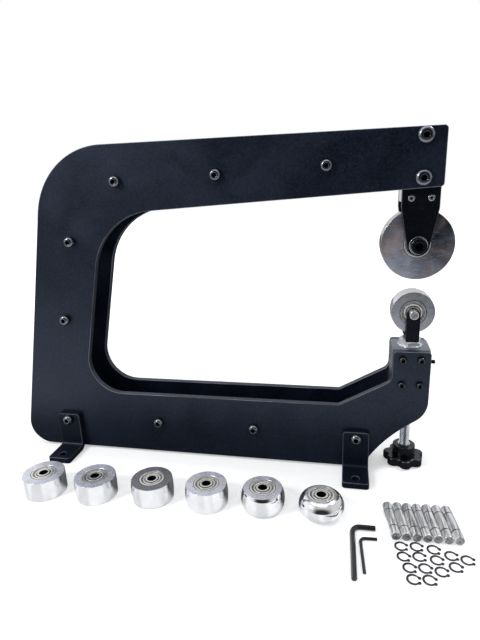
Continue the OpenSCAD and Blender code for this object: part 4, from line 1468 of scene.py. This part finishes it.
    def bolts(self) -> None:
        """Socket screws of the plates and brackets, on the front and on the rear."""
        out = self.place.plate_out
        for kind, spots, seat in (("frame_bolt", self.bolt_spots(), out),
                                  ("bracket_bolt", self.bracket_spots(), out + self.bracket_t)):
            make(f"{kind}_heads", front_and_rear(self.bolt.shape(), spots, seat), OXIDE, "frame",
                 [f"{kind}s"])

    def bracket(self) -> Shape:
        """One bracket about X = 0 on the front: a flat blank with two holes, then bent.

        The blank's length s runs down the leg, round the bend and out along the foot. In the
        bend the point at depth t lies at the angle (s - leg) / (radius of the bar's middle)
        and at the distance outer radius - t from the bend's middle.

        Returns:
            A closed shape.
        """
        outer = self.bend_r + self.bracket_t
        mid = self.bend_r + self.bracket_t / 2
        leg, bend = self.bracket_h - outer, mid * math.pi / 2
        length = leg + bend + self.bracket_foot - outer
        half, r = self.bracket_w / 2, self.bracket_corner_r
        corners = [(0, -half, r), (length, -half, r), (length, half, r), (0, half, r)]
        bolt_hole = round_hole(self.bracket_h - self.bolt_z, 0, self.bolt_hole)
        bench_hole = round_hole(leg + bend + self.bench_hole_out - outer, 0, self.bench_hole_d)
        flat = slab([dense(filleted(corners, 8), 1.2), bolt_hole, bench_hole], self.bracket_t,
                    self.bracket_edge)
        out = self.place.plate_out

        def bent(v: Array) -> Array:
            """Bends the flat blank.

            Args:
                v: length, width and depth of each point in the blank.

            Returns:
                X, Y and Z of each point in the bracket.
            """
            s, w, t = v.T
            angle = np.clip((s - leg) / mid, 0, np.pi / 2)
            down, past = np.minimum(s - leg, 0), np.maximum(s - leg - bend, 0)
            y = -out - outer + (outer - t) * np.cos(angle) - past
            z = outer - (outer - t) * np.sin(angle) - down
            return np.stack([w, y, z], -1)

        return flat.mapped(bent)

    def brackets(self) -> None:
        """The four brackets, the rear ones mirrored."""
        one = self.bracket()
        for side, sign in (("front", 1), ("rear", -1)):
            there = Shape(one.points * np.array([1, sign, 1]), one.faces, one.share)
            for end, (x, _) in zip(("left", "right"), self.bracket_spots()):
                make(f"foot_{side}_{end}", there.moved((x, 0, 0)), BRACKET_COAT_SHADED, "frame",
                     [f"bracket_{side}_{end}"], True)

    def build(self) -> None:
        """Makes every piece of the frame."""
        self.plates()
        self.spacers()
        self.bolts()
        self.brackets()


@dataclass
class UpperHead:
    """The fork with its block, bolts and nuts, and the upper wheel on its axle."""

    place: Layout
    fork_w: float = 40.0
    fork_t: float = 6.0
    fork_end_r: float = 12.0
    fork_shoulder_r: float = 30.0
    fork_top_r: float = 2.0
    fork_top_gap: float = 2.0
    fork_taper_h: float = 40.0
    screw_drop: float = 11.5
    axle_d: float = 10.0
    axle_hole: float = 10.1
    screw_hole: float = 4.4
    clearance: float = 0.05
    thread_l: float = 12.0
    thread_pitch: float = 1.5
    washer_d: float = 20.0
    washer_t: float = 1.5
    nut_h: float = 8.0
    nut_flats: float = 16.0
    past_nut: float = 2.0
    edge: float = 0.6
    wheel: Wheel = field(default_factory=lambda: Wheel(diameter=80.0, width=25.0, edge=0.7))

    def fork_outline(self) -> Loop:
        """The fork plate about its axle; its round end fills the corner of two tangents.

        Returns:
            Points in X and Z, and outward normals.
        """
        p = self.place
        half, tall, r = self.fork_w / 2, self.fork_taper_h, self.fork_end_r
        top = p.frame_top - self.fork_top_gap - p.upper_axle_z
        swing = math.atan(tall / half) - math.acos(r / math.hypot(half, tall))
        return filleted([(0, r / math.sin(swing), r), (half, tall, self.fork_shoulder_r),
                         (half, top, self.fork_top_r), (-half, top, self.fork_top_r),
                         (-half, tall, self.fork_shoulder_r)], 16)

    def fork(self) -> None:
        """Both fork plates, the block between them and the small screws."""
        p = self.place
        half = p.plate_gap / 2
        screws = p.side_screws([p.frame_top - p.head_h - self.screw_drop])
        points, normals = self.fork_outline()
        outline = (points + np.array([p.heads_x, p.upper_axle_z]), normals)
        holes = [(p.head_bolts, p.head_hole_d), (p.upper_axle, self.axle_hole),
                 (screws, self.screw_hole)]
        plate_pair("fork", "fork_plate", outline, holes, self.fork_t, self.edge, FORK_COAT_SHADED,
                   (-half, half - self.fork_t))
        softened("fork_filler", "fork_block", FILLER_PLATE, "frame", 0.5)
        screw = Fastener(head_d=7.0, head_h=3.5, socket=3.0, shank_d=4.0, shank_l=14.0,
                         domed=False, edge=0.5)
        make("fork_screw_heads", front_and_rear(screw.shape(), screws, half), PLATED, "frame",
             ["fork_screws"])

    def through_bolt(self, head: Fastener, end: float) -> Shape:
        """A bolt on Z = 0 with its shank down to a thread that ends at -end."""
        return joined([head.shape(),
                       threaded(self.axle_d, self.thread_pitch, -end, -end + self.thread_l)])

    def fasteners(self) -> None:
        """The head's through bolts and nuts, and the upper axle with its nut and washers."""
        p = self.place
        half, shank = p.plate_gap / 2, self.axle_d - 2 * self.clearance
        seat = half + self.washer_t
        bolt_l = 2 * p.plate_out + self.nut_h + self.past_nut
        axle_l = 2 * seat + self.nut_h + self.past_nut
        bolt_head = Fastener(head_d=17.5, head_h=5.5, socket=6.0, shank_d=shank,
                             shank_l=bolt_l - self.thread_l / 2)
        axle_head = Fastener(head_d=17.0, head_h=8.0, socket=8.0, shank_d=shank,
                             shank_l=axle_l - self.thread_l / 2, domed=False, edge=0.9)
        bolt = self.through_bolt(bolt_head, bolt_l)
        pivot = self.through_bolt(axle_head, axle_l)
        nut = hex_nut(self.nut_flats, self.nut_h, self.axle_d / 2 + self.clearance)
        for name, node, one, finish, spots, axis, y in (
                ("head_bolt_heads", "head_bolts", bolt, OXIDE, p.head_bolts, Axis.FRONT,
                 -p.plate_out),
                ("head_bolt_nuts", "head_nuts", nut, PLATED, p.head_bolts, Axis.REAR,
                 p.plate_out),
                ("axle_bolt", "upper_axle", pivot, AXLE_OXIDE, p.upper_axle, Axis.FRONT, -seat),
                ("axle_nut", "upper_axle_nut", nut, PLATED, p.upper_axle, Axis.REAR, seat)):
            make(name, joined([one.along(axis, (x, y, z)) for x, z in spots]), finish, "frame",
                 [node])
        washer = ring(self.axle_d / 2 + self.clearance, self.washer_d / 2, 0, self.washer_t, 0.3)
        make("axle_washers", front_and_rear(washer, p.upper_axle, half), PLATED, "frame",
             ["upper_axle_washers"])

    def wheel_pieces(self) -> None:
        """The upper wheel with its two bearings."""
        at = (self.place.heads_x, 0, self.place.upper_axle_z)
        # the upper wheel's side faces carry a strong painted sheen, brighter to the lower left
        steel = TurnedSteel(
            "upper_wheel_steel", (0.6, 0.6, 0.62), slot=Slot.MACHINED, centre=in_metres(at),
            rings=2200.0, smudges=24.0, streak=0.12, face_tone=0.74, face_roughness=0.3,
            painted_sheen_side=(-0.75, 0.0, -0.65), painted_sheen_share=0.75, mottle_and_sheen=0.3,
            warm=(1.08, 0.95, 0.95), cool=(0.89, 0.97, 1.16))
        wheel, bearing = self.wheel, self.wheel.bearing
        for name, shape, finish, body, nodes in (
                ("upper_wheel_body", wheel.shape(), steel, "upper_wheel", ["upper_wheel"]),
                ("upper_wheel_races", wheel.bearing_pair(bearing.outer_race), RACE,
                 "upper_wheel", ["upper_outer_rings"]),
                ("upper_wheel_shields", wheel.bearing_pair(bearing.shields), SHIELD,
                 "upper_wheel", []),
                ("upper_hub_races", wheel.bearing_pair(bearing.inner_race), RACE, "frame",
                 ["upper_inner_rings"])):
            make(name, shape.along(Axis.REAR, at), finish, body, nodes)

    def build(self) -> None:
        """Makes every piece of the upper head."""
        self.fork()
        self.fasteners()
        self.wheel_pieces()


@dataclass
class LowerHead:
    """The guide block between the plates, its bush and its screws."""

    place: Layout
    flange_d: float = 29.0
    flange_t: float = 1.4
    hex_flats: float = 24.0
    hex_h: float = 7.6
    bore_d: float = 16.1
    barrel_d: float = 20.0
    barrel_l: float = 10.0
    hex_turn: float = 45.0
    flange_edge: float = 0.6
    guide_d: float = 5.0
    guide_pitch: float = 0.8
    guide_out: float = 9.0
    guide_drop: float = 21.5
    guide_thread_from: float = 8.7
    tip_r: float = 2.0
    tip_from: float = 6.3
    tip_to: float = 9.2
    block_screw: Fastener = field(default_factory=lambda: Fastener(
        head_d=9.2, head_h=5.0, socket=4.0, shank_d=5.0, shank_l=15.0))

    def bush(self) -> None:
        """The bush that guides the ram: a thin flange under a chamfered hexagon."""
        half, bore, barrel = self.hex_flats / 2, self.bore_d / 2, self.barrel_d / 2
        flat, top, low = half - 0.3, self.flange_t + self.hex_h, -self.barrel_l
        rim, edge = self.flange_d / 2, self.flange_edge
        rows = [(bore, low), (bore, top - 0.5), (bore + 0.5, top), (flat, top),
                (half, top - 0.2, 1.0, -CHAMFER_SLOPE), (half, self.flange_t + 0.4, 1.0),
                (half + 0.3, self.flange_t, 1.0)]
        rows += arc_rows(rim - edge, self.flange_t - edge, edge, 90, 0)
        rows += arc_rows(rim - 0.4, 0.4, 0.4, 0, -90)
        rows += [(barrel, 0), (barrel, low + 0.5), (barrel - 0.5, low)]
        shape = turned(rows, 96, True, lambda angle: hexagon(angle - math.radians(self.hex_turn)))
        make("ram_bush", shape.moved((self.place.heads_x, 0, self.place.block_top)), BUSH_PLATE,
             "frame", ["guide_bush"])

    def screws(self) -> None:
        """The block's eight screws and the guide screw with its threaded end."""
        p = self.place
        make("block_screw_heads",
             front_and_rear(self.block_screw.shape(), p.block_screws, p.plate_out), DEEP_OXIDE,
             "frame", ["block_screws"])
        reach, wide, socket = p.head_w / 2 + self.guide_out, self.guide_d / 2, self.guide_d / 4
        tip = turned([(0, self.tip_from), (self.tip_r - 0.3, self.tip_from),
                      (self.tip_r, self.tip_from + 0.3), (self.tip_r, self.tip_to),
                      (0, self.tip_to)], 36)
        stem = threaded(self.guide_d, self.guide_pitch, self.guide_thread_from, reach - 0.4)
        end = turned([(0, reach - 2.4), (socket, reach - 2.4, 1.0), (socket, reach - 0.2, 1.0),
                      (socket * 1.25, reach, 0), (wide - 0.6, reach),
                      (wide - 0.15, reach - 0.45), (wide - 0.3, reach - 1.0),
                      (0, reach - 2.6)], 36)
        make("guide_screw_piece", joined([tip, stem, end])
             .along(Axis.X, (p.heads_x, 0, p.block_top - self.guide_drop)), DEEP_OXIDE, "frame",
             ["guide_screw"])

    def build(self) -> None:
        """Makes every piece of the lower head."""
        softened("guide_body", "guide_block", BLOCK, "frame", 0.5)
        self.bush()
        self.screws()


@dataclass
class Circlip:
    """An external circlip flat on Z = 0, its gap towards +X, a pierced lug at each side."""

    inner_r: float = 4.75
    ring_w: float = 1.6
    lug_r: float = 1.5
    lug_out: float = 0.5
    lug_past_gap: float = 4.0
    lug_hole: float = 1.0
    thickness: float = 1.0
    gap: float = 26.0
    offset: float = 0.3

    def shape(self) -> Shape:
        """The clip as a slab.

        Its edges are radii by the angle a: the ring's circles, the outer one set back from the
        gap by offset, and widened to a lug's circle wherever a ray meets one, at
        d cos(a - b) +- sqrt(r^2 - d^2 sin^2(a - b)) for a lug of radius r at the distance d and
        the angle b.

        Returns:
            A closed shape.
        """
        outer = self.inner_r + self.ring_w
        far = (self.inner_r + outer) / 2 + self.lug_out
        spot = math.radians(self.gap + self.lug_past_gap)
        first = spot - math.asin(self.lug_r / far) + 1e-3
        share = (1 - np.cos(np.linspace(0, np.pi, 120))) / 2
        a = first + (2 * np.pi - 2 * first) * share
        fold = np.minimum(a, 2 * np.pi - a)
        swing = self.lug_r ** 2 - (far * np.sin(fold - spot)) ** 2
        half = np.sqrt(np.maximum(swing, 0))
        ringed, lug = fold > math.radians(self.gap), swing > 0
        circle = -self.offset * np.cos(a) + np.sqrt(outer ** 2 - (self.offset * np.sin(a)) ** 2)
        middle = far * np.cos(fold - spot)
        big = np.where(lug, middle + half, 0)
        big = np.where(ringed, np.maximum(big, circle), big)
        small = np.where(lug, middle - half, np.inf)
        small = np.where(ringed, np.minimum(small, self.inner_r), small)
        ray = np.stack([np.cos(a), np.sin(a)], -1)
        points = np.concatenate([ray * big[:, None], (ray * small[:, None])[::-1]])
        step = np.roll(points, -1, 0) - np.roll(points, 1, 0)
        normals = np.stack([step[:, 1], -step[:, 0]], -1)
        normals /= np.linalg.norm(normals, axis=1, keepdims=True)
        holes = [round_hole(far * math.cos(spot), s * far * math.sin(spot), self.lug_hole, 16)
                 for s in (-1, 1)]
        return slab([(points, normals)] + holes, self.thickness, 0.1, 1)


@dataclass
class Pin:
    """An anvil pin along Z, centred, with a groove for a circlip near each end."""

    diameter: float = 10.0
    length: float = 50.0
    groove_at: float = 12.6
    groove_w: float = 1.1
    groove_depth: float = 0.5
    edge: float = 0.6
    end_mark: float = 0.65
    centre_r: float = 0.9
    centre_depth: float = 0.7

    def shape(self) -> Shape:
        """The pin's turned profile, half of it mirrored; its cut ends are duller.

        Returns:
            A closed shape.
        """
        r, half, g = self.diameter / 2, self.length / 2, self.groove_at - 0.05
        deep, end = r - self.groove_depth, g + self.groove_w
        # the groove and the centre hole carry share 1, painted dark as oily dirt and shade
        upper: List[Tuple[float, ...]] = [
            (r, 0.0), (r, g), (deep, g + 0.03, 0, 0, 1), (deep, end, 0, 0, 1), (r, end + 0.03),
            (r, half - self.edge)]
        upper += arc_rows(r - self.edge, half - self.edge, self.edge, 0, 90, 4)
        upper += [(r - self.edge - 0.2, half, 0, 0, self.end_mark),
                  (self.centre_r, half, 0, 0, self.end_mark),
                  (0.0, half - self.centre_depth, 0, 0, 1)]
        lower = [(row[0], -row[1], *row[2:]) for row in upper[::-1] if row[1] > 0]
        return turned(lower + upper, 64)


@dataclass
class RamAndAnvil:
    """The yoke on the ram, and the anvil on its pin."""

    place: Layout
    anvil: Wheel = field(default_factory=lambda: Wheel(
        diameter=50.0, width=25.0, crown=150.0, edge=0.6))
    pin: Pin = field(default_factory=Pin)
    clip: Circlip = field(default_factory=Circlip)

    def build(self) -> None:
        """Makes every piece that rises with the ram."""
        at = (self.place.heads_x, 0, self.place.anvil_z)
        steel = PolishedSteel("anvil_steel", metallic=0.5, centre=in_metres(at),
                              face_tone=0.46, reflection_streaks=0.05)
        clip = self.clip.shape().moved((0, 0, self.pin.groove_at), spun(90))
        back = Shape(clip.points * np.array([1, 1, -1]), clip.faces, clip.share)
        anvil, bearing = self.anvil, self.anvil.bearing
        softened("yoke_body", "yoke", FORK_COAT_SHADED, "ram", 0.7)
        for name, shape, finish, body, nodes in (
                ("anvil_pin_piece", self.pin.shape(), PIN_STEEL, "ram", ["anvil_pin"]),
                ("anvil_clips", joined([clip, back]), OXIDE, "ram", ["anvil_circlips"]),
                ("anvil_body", anvil.shape(), steel, "anvil", ["anvil"]),
                ("anvil_races", anvil.bearing_pair(bearing.outer_race), DARK_RACE, "anvil",
                 ["anvil_outer_rings"]),
                ("anvil_shields", anvil.bearing_pair(bearing.shields), SHIELD, "anvil", []),
                ("anvil_hub_races", anvil.bearing_pair(bearing.inner_race), RACE, "ram",
                 ["anvil_inner_rings"])):
            make(name, shape.along(Axis.REAR, at), finish, body, nodes)


@dataclass
class ScrewAndKnob:
    """The lead screw with its thread, and the lobed knob that turns it."""

    place: Layout
    screw_d: float = 12.0
    pitch: float = 1.75
    tip_d: float = 8.0
    tip_l: float = 10.0
    tip_chamfer: float = 0.6
    shoulder_z: float = 119.8
    knob_low: float = 0.5
    knob_d: float = 50.0
    disc_in: float = 4.5
    lobes: int = 7
    lobe_r: float = 6.8
    lobe_turn: float = 0.3
    lobe_blend: float = 26.0
    grip_h: float = 11.0
    hub_d: float = 27.5
    hub_h: float = 13.0
    hub_edge: float = 1.2
    neck_in: float = 1.2
    insert_d: float = 15.5
    insert_l: float = 17.0
    bore_l: float = 17.5
    foot_depth: float = 1.2
    edge: float = 2.2

    @property
    def disc_r(self) -> float:
        """Radius of the grip between its lobes."""
        return self.knob_d / 2 - self.disc_in

    def lobed(self, angle: Array) -> Array:
        """Radius of the grip by angle over its disc's radius.

        A ray at the angle a leaves the lobe at b, of radius r at the distance d, at
        d cos(a - b) + sqrt(r^2 - d^2 sin^2(a - b)). The disc and the lobes blend by a power sum,
        (disc^n + reach^n)^(1 / n).

        Args:
            angle: round the knob's axis.

        Returns:
            One number for each angle.
        """
        far, power = self.knob_d / 2 - self.lobe_r, self.lobe_blend
        off = angle[..., None] - 2 * np.pi * (np.arange(self.lobes) + self.lobe_turn) / self.lobes
        root = np.maximum(self.lobe_r ** 2 - (far * np.sin(off)) ** 2, 0)
        reach = np.where((np.cos(off) > 0) & (root > 0),
                         far * np.cos(off) + np.sqrt(root), 0).max(-1)
        blend = (self.disc_r ** power + reach ** power) ** (1 / power)
        return np.minimum(blend, self.knob_d / 2) / self.disc_r

    def knob(self) -> Shape:
        """The knob from the floor of its bore, over the hub and the grip, to its foot.

        Returns:
            A closed shape.
        """
        disc, hub, round_r = self.disc_r, self.hub_d / 2, self.hub_edge
        grip, top, neck = self.grip_h, self.grip_h + self.hub_h, hub - self.neck_in
        bore, floor = self.insert_d / 2 - 0.05, top - self.bore_l
        rows: List[Tuple[float, ...]] = [(0, floor), (bore, floor), (bore, top - 0.3),
                                         (bore + 0.3, top)]
        rows += arc_rows(hub - round_r, top - round_r, round_r, 90, 0)
        rows += [(hub, grip + 1.6), (neck, grip + 1.2), (neck, grip - 0.6),
                 (hub + 0.6, grip - 0.6), (hub + 1.2, grip, 0.25)]
        quarter = np.linspace(0, np.pi / 2, 7)
        rows += [(disc - self.edge * (1 - math.sin(a)), grip - self.edge * (1 - math.cos(a)), 1.0)
                 for a in quarter]
        rows += [(disc - self.edge * (1 - math.cos(a)), self.edge * (1 - math.sin(a)), 1.0)
                 for a in quarter]
        rows += [(hub * 0.7, 0.0), (hub * 0.62, self.foot_depth), (0, self.foot_depth)]
        return turned(rows, 252, False, self.lobed)

    def build(self) -> None:
        """Makes the knob and the screw."""
        x = self.place.heads_x
        make("knob", self.knob().moved((x, 0, self.knob_low)), PLASTIC, "screw", ["star_knob"])
        low = self.knob_low + self.grip_h + self.hub_h - self.insert_l
        stem = threaded(self.screw_d, self.pitch, low, self.shoulder_z)
        wide, foot, end = self.tip_d / 2, self.shoulder_z - 0.5, self.shoulder_z + self.tip_l
        tip = turned([(0, foot), (wide, foot), (wide, end - self.tip_chamfer),
                      (wide - self.tip_chamfer, end), (0, end)], 48)
        make("lead_screw_piece", joined([stem, tip]).moved((x, 0, 0)), PLATED, "screw",
             ["lead_screw"])


@dataclass
class HexKey:
    """A hex key flat on Z = 0: its bend at the spot, the long arm towards -Y before its turn."""

    name: str
    flats: float
    long_l: float
    short_l: float
    spot: Pair
    degrees: float
    bend_share: float = 1.6
    corner_share: float = 1.125
    end_chamfer: float = 0.35

    def shape(self) -> Shape:
        """The key at its place, its hexagon's corners a little blunted.

        Returns:
            A closed shape.
        """
        bend, half = self.bend_share * self.flats, self.flats / 2
        angle = np.linspace(0, np.pi / 2, 13)
        arc = np.stack([bend - bend * np.cos(angle), -bend + bend * np.sin(angle)], -1)
        path = np.concatenate([[(0, -self.long_l)], arc, [(self.short_l, 0)]])
        path = np.column_stack([path, np.full(len(path), half)])
        spin = np.linspace(0, 2 * np.pi, 36, endpoint=False)
        reach = np.minimum(hexagon(spin + np.pi / 2) * half, half * self.corner_share)
        section = np.stack([reach * np.cos(spin), reach * np.sin(spin)], -1)
        return swept(path, section, self.end_chamfer).moved((*self.spot, 0), spun(self.degrees))


@dataclass
class LooseKit:
    """What lies on the bench: six anvils, pins, circlips and two hex keys."""

    anvil_d: float = 50.0
    anvil_w: float = 25.0
    crowns: Tuple[float, ...] = (0, 250, 100, 65, 28, 13.3)
    # painted light: each spare anvil's side faces get their own brightness, though all are one
    # steel
    painted_face_tones: Tuple[float, ...] = (0.83, 0.89, 0.26, 0.9, 0.78, 0.6)
    anvil_spots: Tuple[Pair, ...] = (
        (-179, -130), (-112, -127), (-41, -122), (26, -122), (92, -120), (158, -123))
    pin_count: int = 7
    pin_step: Pair = (10.3, 0.4)
    pin_spot: Pair = (232.5, -129)
    pin_turn: float = 6.4
    clip_spots: Tuple[Pair, ...] = (
        (239.5, -162), (254.5, -160.4), (270.5, -162), (286, -168), (300.2, -171.5),
        (240.5, -176), (255.5, -174), (271.5, -176), (287.5, -182.5), (273.5, -190.5),
        (244.5, -190), (259, -188.5), (246.5, -204), (261, -202.5))
    clip_turns: Tuple[float, ...] = (-6, -11, -16)
    keys: Tuple[HexKey, ...] = (
        HexKey("large", flats=5, long_l=72, short_l=24, spot=(191.5, -142.5), degrees=1.0),
        HexKey("small", flats=3, long_l=47, short_l=17, spot=(199.5, -158), degrees=3.5))
    pin: Pin = field(default_factory=Pin)
    clip: Circlip = field(default_factory=Circlip)

    def anvils(self) -> None:
        """The spare anvils with their bearings, each on its own body."""
        kinds = zip(self.anvil_spots, self.crowns, self.painted_face_tones)
        for i, (spot, crown, tone) in enumerate(kinds, 1):
            body, at = f"spare_anvil_{i}", (*spot, self.anvil_w / 2)
            anvil = Wheel(self.anvil_d, self.anvil_w, crown)
            bearing = anvil.bearing
            steel = PolishedSteel(f"spare_steel_{i}", centre=in_metres(at), axis=(0, 0, 1),
                                  face_tone=tone, face_metal=0.5, reflection_streaks=0.22)
            races = joined([anvil.bearing_pair(bearing.outer_race),
                            anvil.bearing_pair(bearing.inner_race)])
            for part, shape, finish, nodes in (
                    ("body", anvil.shape(), steel, [body]),
                    ("races", races, RACE, [f"spare_bearings_{i}"]),
                    ("shields", anvil.bearing_pair(bearing.shields), SHIELD, [])):
                make(f"{body}_{part}", shape.moved(at), finish, body, nodes)

    def small_parts(self) -> None:
        """Pins side by side, circlips flat on the bench, each turned its own way, and keys."""
        pin, lying = self.pin.shape(), spun(self.pin_turn) @ np.array(Axis.FRONT.value)
        (x, y), (across, back) = self.pin_spot, self.pin_step
        pins = [pin.moved((x + across * i, y + back * i, self.pin.diameter / 2), lying)
                for i in range(self.pin_count)]
        clip = self.clip.shape()
        clips = [clip.moved((*spot, 0), spun(self.clip_turns[i % len(self.clip_turns)]))
                 for i, spot in enumerate(self.clip_spots)]
        make("loose_pins", joined(pins), PIN_STEEL, "spare_pins", ["spare_pins"])
        make("loose_circlips", joined(clips), CLIP_OXIDE, "spare_circlips", ["spare_circlips"])
        for key in self.keys:
            node = f"hex_key_{key.name}"
            make(f"key_{key.name}", key.shape(), DARK_OXIDE, node, [node])

    def build(self) -> None:
        """Makes every loose piece."""
        self.anvils()
        self.small_parts()


def finish_nodes() -> None:
    """Gives each CAD node that still shows the finish of its slot."""
    by_slot = {finish.slot: finish
               for finish in (COAT, OXIDE, MACHINED, PLATED, BALL, BRONZE, PLASTIC)}
    by_slot[Slot.POLISHED] = RACE
    slots = {part["node"]: part["material_slot"] for part in frame["record"]["subparts"]}
    for name, node in frame["nodes"].items():
        node.data.materials.clear()
        node.data.materials.append(by_slot[Slot(slots[name])].material())


# Studio


@dataclass
class Lamp:
    """One rectangular soft lamp, its places in metres and its power in watts."""

    name: str
    at: Triple
    target: Triple
    size: Pair
    power: float

    def build(self) -> None:
        """Hangs the lamp, turned to its target."""
        data = bpy.data.lights.new(self.name, "AREA")
        data.shape = "RECTANGLE"
        data.size, data.size_y = self.size
        data.energy = self.power
        lamp = linked(self.name, data)
        lamp.location = self.at
        way = Vector(self.target) - Vector(self.at)
        lamp.rotation_euler = way.to_track_quat("-Z", "Y").to_euler()


LAMPS = (
    Lamp("lamp_top", at=(0.0, -0.1, 1.6), target=(0.0, 0.0, 0.1), size=(1.5, 1.1), power=5.6),
    Lamp("lamp_left", at=(-0.95, -0.85, 1.05), target=(-0.1, 0.0, 0.2), size=(0.35, 0.35),
         power=9.5),
    Lamp("lamp_right", at=(0.85, 0.35, 1.2), target=(0.1, 0.0, 0.2), size=(0.3, 0.3), power=5.0))


@dataclass
class Studio:
    """A white floor and background, soft lamps, and the camera of the photograph.

    In reflections one side of the studio is dark, another is dimmer, and so is the floor near the
    camera. Under the object the floor carries a painted shadow that shows only in reflections. Each
    pair named edge bounds one such fade. The camera's place is in millimetres, the floor's lengths
    in metres.
    """

    camera_at: Triple = (178.4537, -596.9742, 366.3377)
    yaw: float = 0.2161755
    pitch: float = -0.2862222
    roll: float = -0.0411696
    focal_px: float = 494.0227
    frame_px: float = 640.0
    sensor: float = 36.0
    fill: float = 0.42
    fill_colour: Colour = (0.93, 0.96, 1.0)
    dark: float = 0.04
    dark_way: Triple = (0.10, -1.0, 0.18)
    dark_edge: Pair = (0.62, 0.93)
    sky: float = 0.7
    sky_edge: Pair = (-0.5, -0.3)
    floor_half: float = 4.0
    floor_drop: float = 0.0001
    floor_colour: Colour = (0.9, 0.9, 0.9)
    floor_reflected_shade: Colour = (0.1, 0.1, 0.11)
    floor_lift: float = 0.4
    far_edge: Pair = (0.45, 1.1)
    mirror_lift: float = 0.27
    near: float = 0.25
    near_edge: Pair = (-0.75, -0.4)
    # under: the floor's brightness in reflections under the object, a painted shadow
    under: float = 0.1
    under_shadow_edge: Pair = (-0.13, -0.112)

    def camera(self) -> None:
        """The camera, from its heading, tilt and roll, with its lens for frame_px."""
        cy, sy = math.cos(self.yaw), math.sin(self.yaw)
        cp, sp = math.cos(self.pitch), math.sin(self.pitch)
        ahead = np.array([-sy * cp, cy * cp, sp])
        level = np.array([cy, sy, 0.0])
        upward = np.cross(level, ahead)
        right = math.cos(self.roll) * level + math.sin(self.roll) * upward
        up = -math.sin(self.roll) * level + math.cos(self.roll) * upward
        data = bpy.data.cameras.new("camera")
        data.sensor_width = self.sensor
        data.lens = self.focal_px * self.sensor / self.frame_px
        data.clip_start = 0.01
        camera = linked("camera", data)
        matrix = Matrix(np.column_stack([right, up, -ahead]).tolist()).to_4x4()
        matrix.translation = Vector(self.camera_at) * MM
        camera.matrix_world = matrix
        bpy.context.scene.camera = camera

    def world(self) -> None:
        """White behind the object; in reflections with a dark and a dimmer side."""
        world = bpy.data.worlds.new("studio")
        world.use_nodes = True
        bpy.context.scene.world = world
        t = Tree(world.node_tree)
        way = t.add("TexCoord").outputs["Generated"]
        facing = t.measure("DOT_PRODUCT", way, tuple(Vector(self.dark_way).normalized()))
        across = t.add("SeparateXYZ", Vector=way).outputs["X"]
        shade = t.times(t.spread(facing, 1.0, self.dark, *self.dark_edge),
                        t.spread(across, 1.0, self.sky, *self.sky_edge))
        grey = t.mix(shade, (0.0, 0.0, 0.0, 1.0), (*WHITE, 1.0))
        mirror = t.add("Background", Color=grey, Strength=1.0)
        soft = t.add("Background", Color=(*self.fill_colour, 1.0), Strength=self.fill)
        white = t.add("Background", Color=(*WHITE, 1.0), Strength=1.0)
        path = t.add("LightPath")
        inner = t.add("MixShader", in0=path.outputs["Is Glossy Ray"], in1=soft.outputs[0],
                      in2=mirror.outputs[0])
        outer = t.add("MixShader", in0=path.outputs["Is Camera Ray"], in1=inner.outputs[0],
                      in2=white.outputs[0])
        t.link(outer.outputs[0], t.add("OutputWorld"), "Surface")

    def floor(self) -> None:
        """A wide white floor that keeps the object's shadow."""
        half = self.floor_half
        mesh = bpy.data.meshes.new("floor")
        mesh.from_pydata([(-half, -half, 0), (half, -half, 0), (half, half, 0), (-half, half, 0)],
                         [], [(0, 1, 2, 3)])
        floor = linked("floor", mesh)
        floor.location.z = -self.floor_drop
        paper = bpy.data.materials.new("floor_paper")
        paper.use_nodes = True
        t = Tree(paper.node_tree)
        place, path = t.place(), t.add("LightPath")
        camera_ray, mirrored = path.outputs["Is Camera Ray"], path.outputs["Is Glossy Ray"]
        depth = t.add("SeparateXYZ", Vector=place).outputs["Y"]
        # dark in reflections near the camera, and a painted shadow under the object
        bright = t.times(t.spread(depth, self.near, 1.0, *self.near_edge),
                         t.spread(depth, 1.0, self.under, *self.under_shadow_edge))
        far = t.spread(t.measure("LENGTH", place), self.floor_lift, 1.0, *self.far_edge)
        tint = t.mix(t.times(mirrored, t.math("SUBTRACT", 1.0, bright)),
                     (*self.floor_colour, 1.0), (*self.floor_reflected_shade, 1.0))
        matt = t.add("BsdfDiffuse", Color=tint)
        lift = t.times_plus(camera_ray, far,
                            t.times(t.times(mirrored, bright), self.mirror_lift))
        glow = t.add("Emission", Color=(*WHITE, 1.0), Strength=lift)
        mixed = t.add("AddShader", in0=matt.outputs[0], in1=glow.outputs[0])
        t.link(mixed.outputs[0], t.add("OutputMaterial"), "Surface")
        mesh.materials.append(paper)

    def build(self) -> None:
        """Sets the camera, the world, the floor, the lamps and the view transform."""
        self.camera()
        self.world()
        self.floor()
        for lamp in LAMPS:
            lamp.build()
        bpy.context.scene.view_settings.view_transform = "Standard"


def main() -> None:
    """Builds the english wheel, its studio and its camera."""
    logging.basicConfig(level=logging.INFO, format="%(name)s: %(message)s")
    place = Layout()
    Studio().build()
    finish_nodes()
    for assembly in (SideFrame(place), UpperHead(place), LowerHead(place), RamAndAnvil(place),
                     ScrewAndKnob(place), LooseKit()):
        assembly.build()
    bpy.context.view_layer.update()


if __name__ == "__main__":
    main()
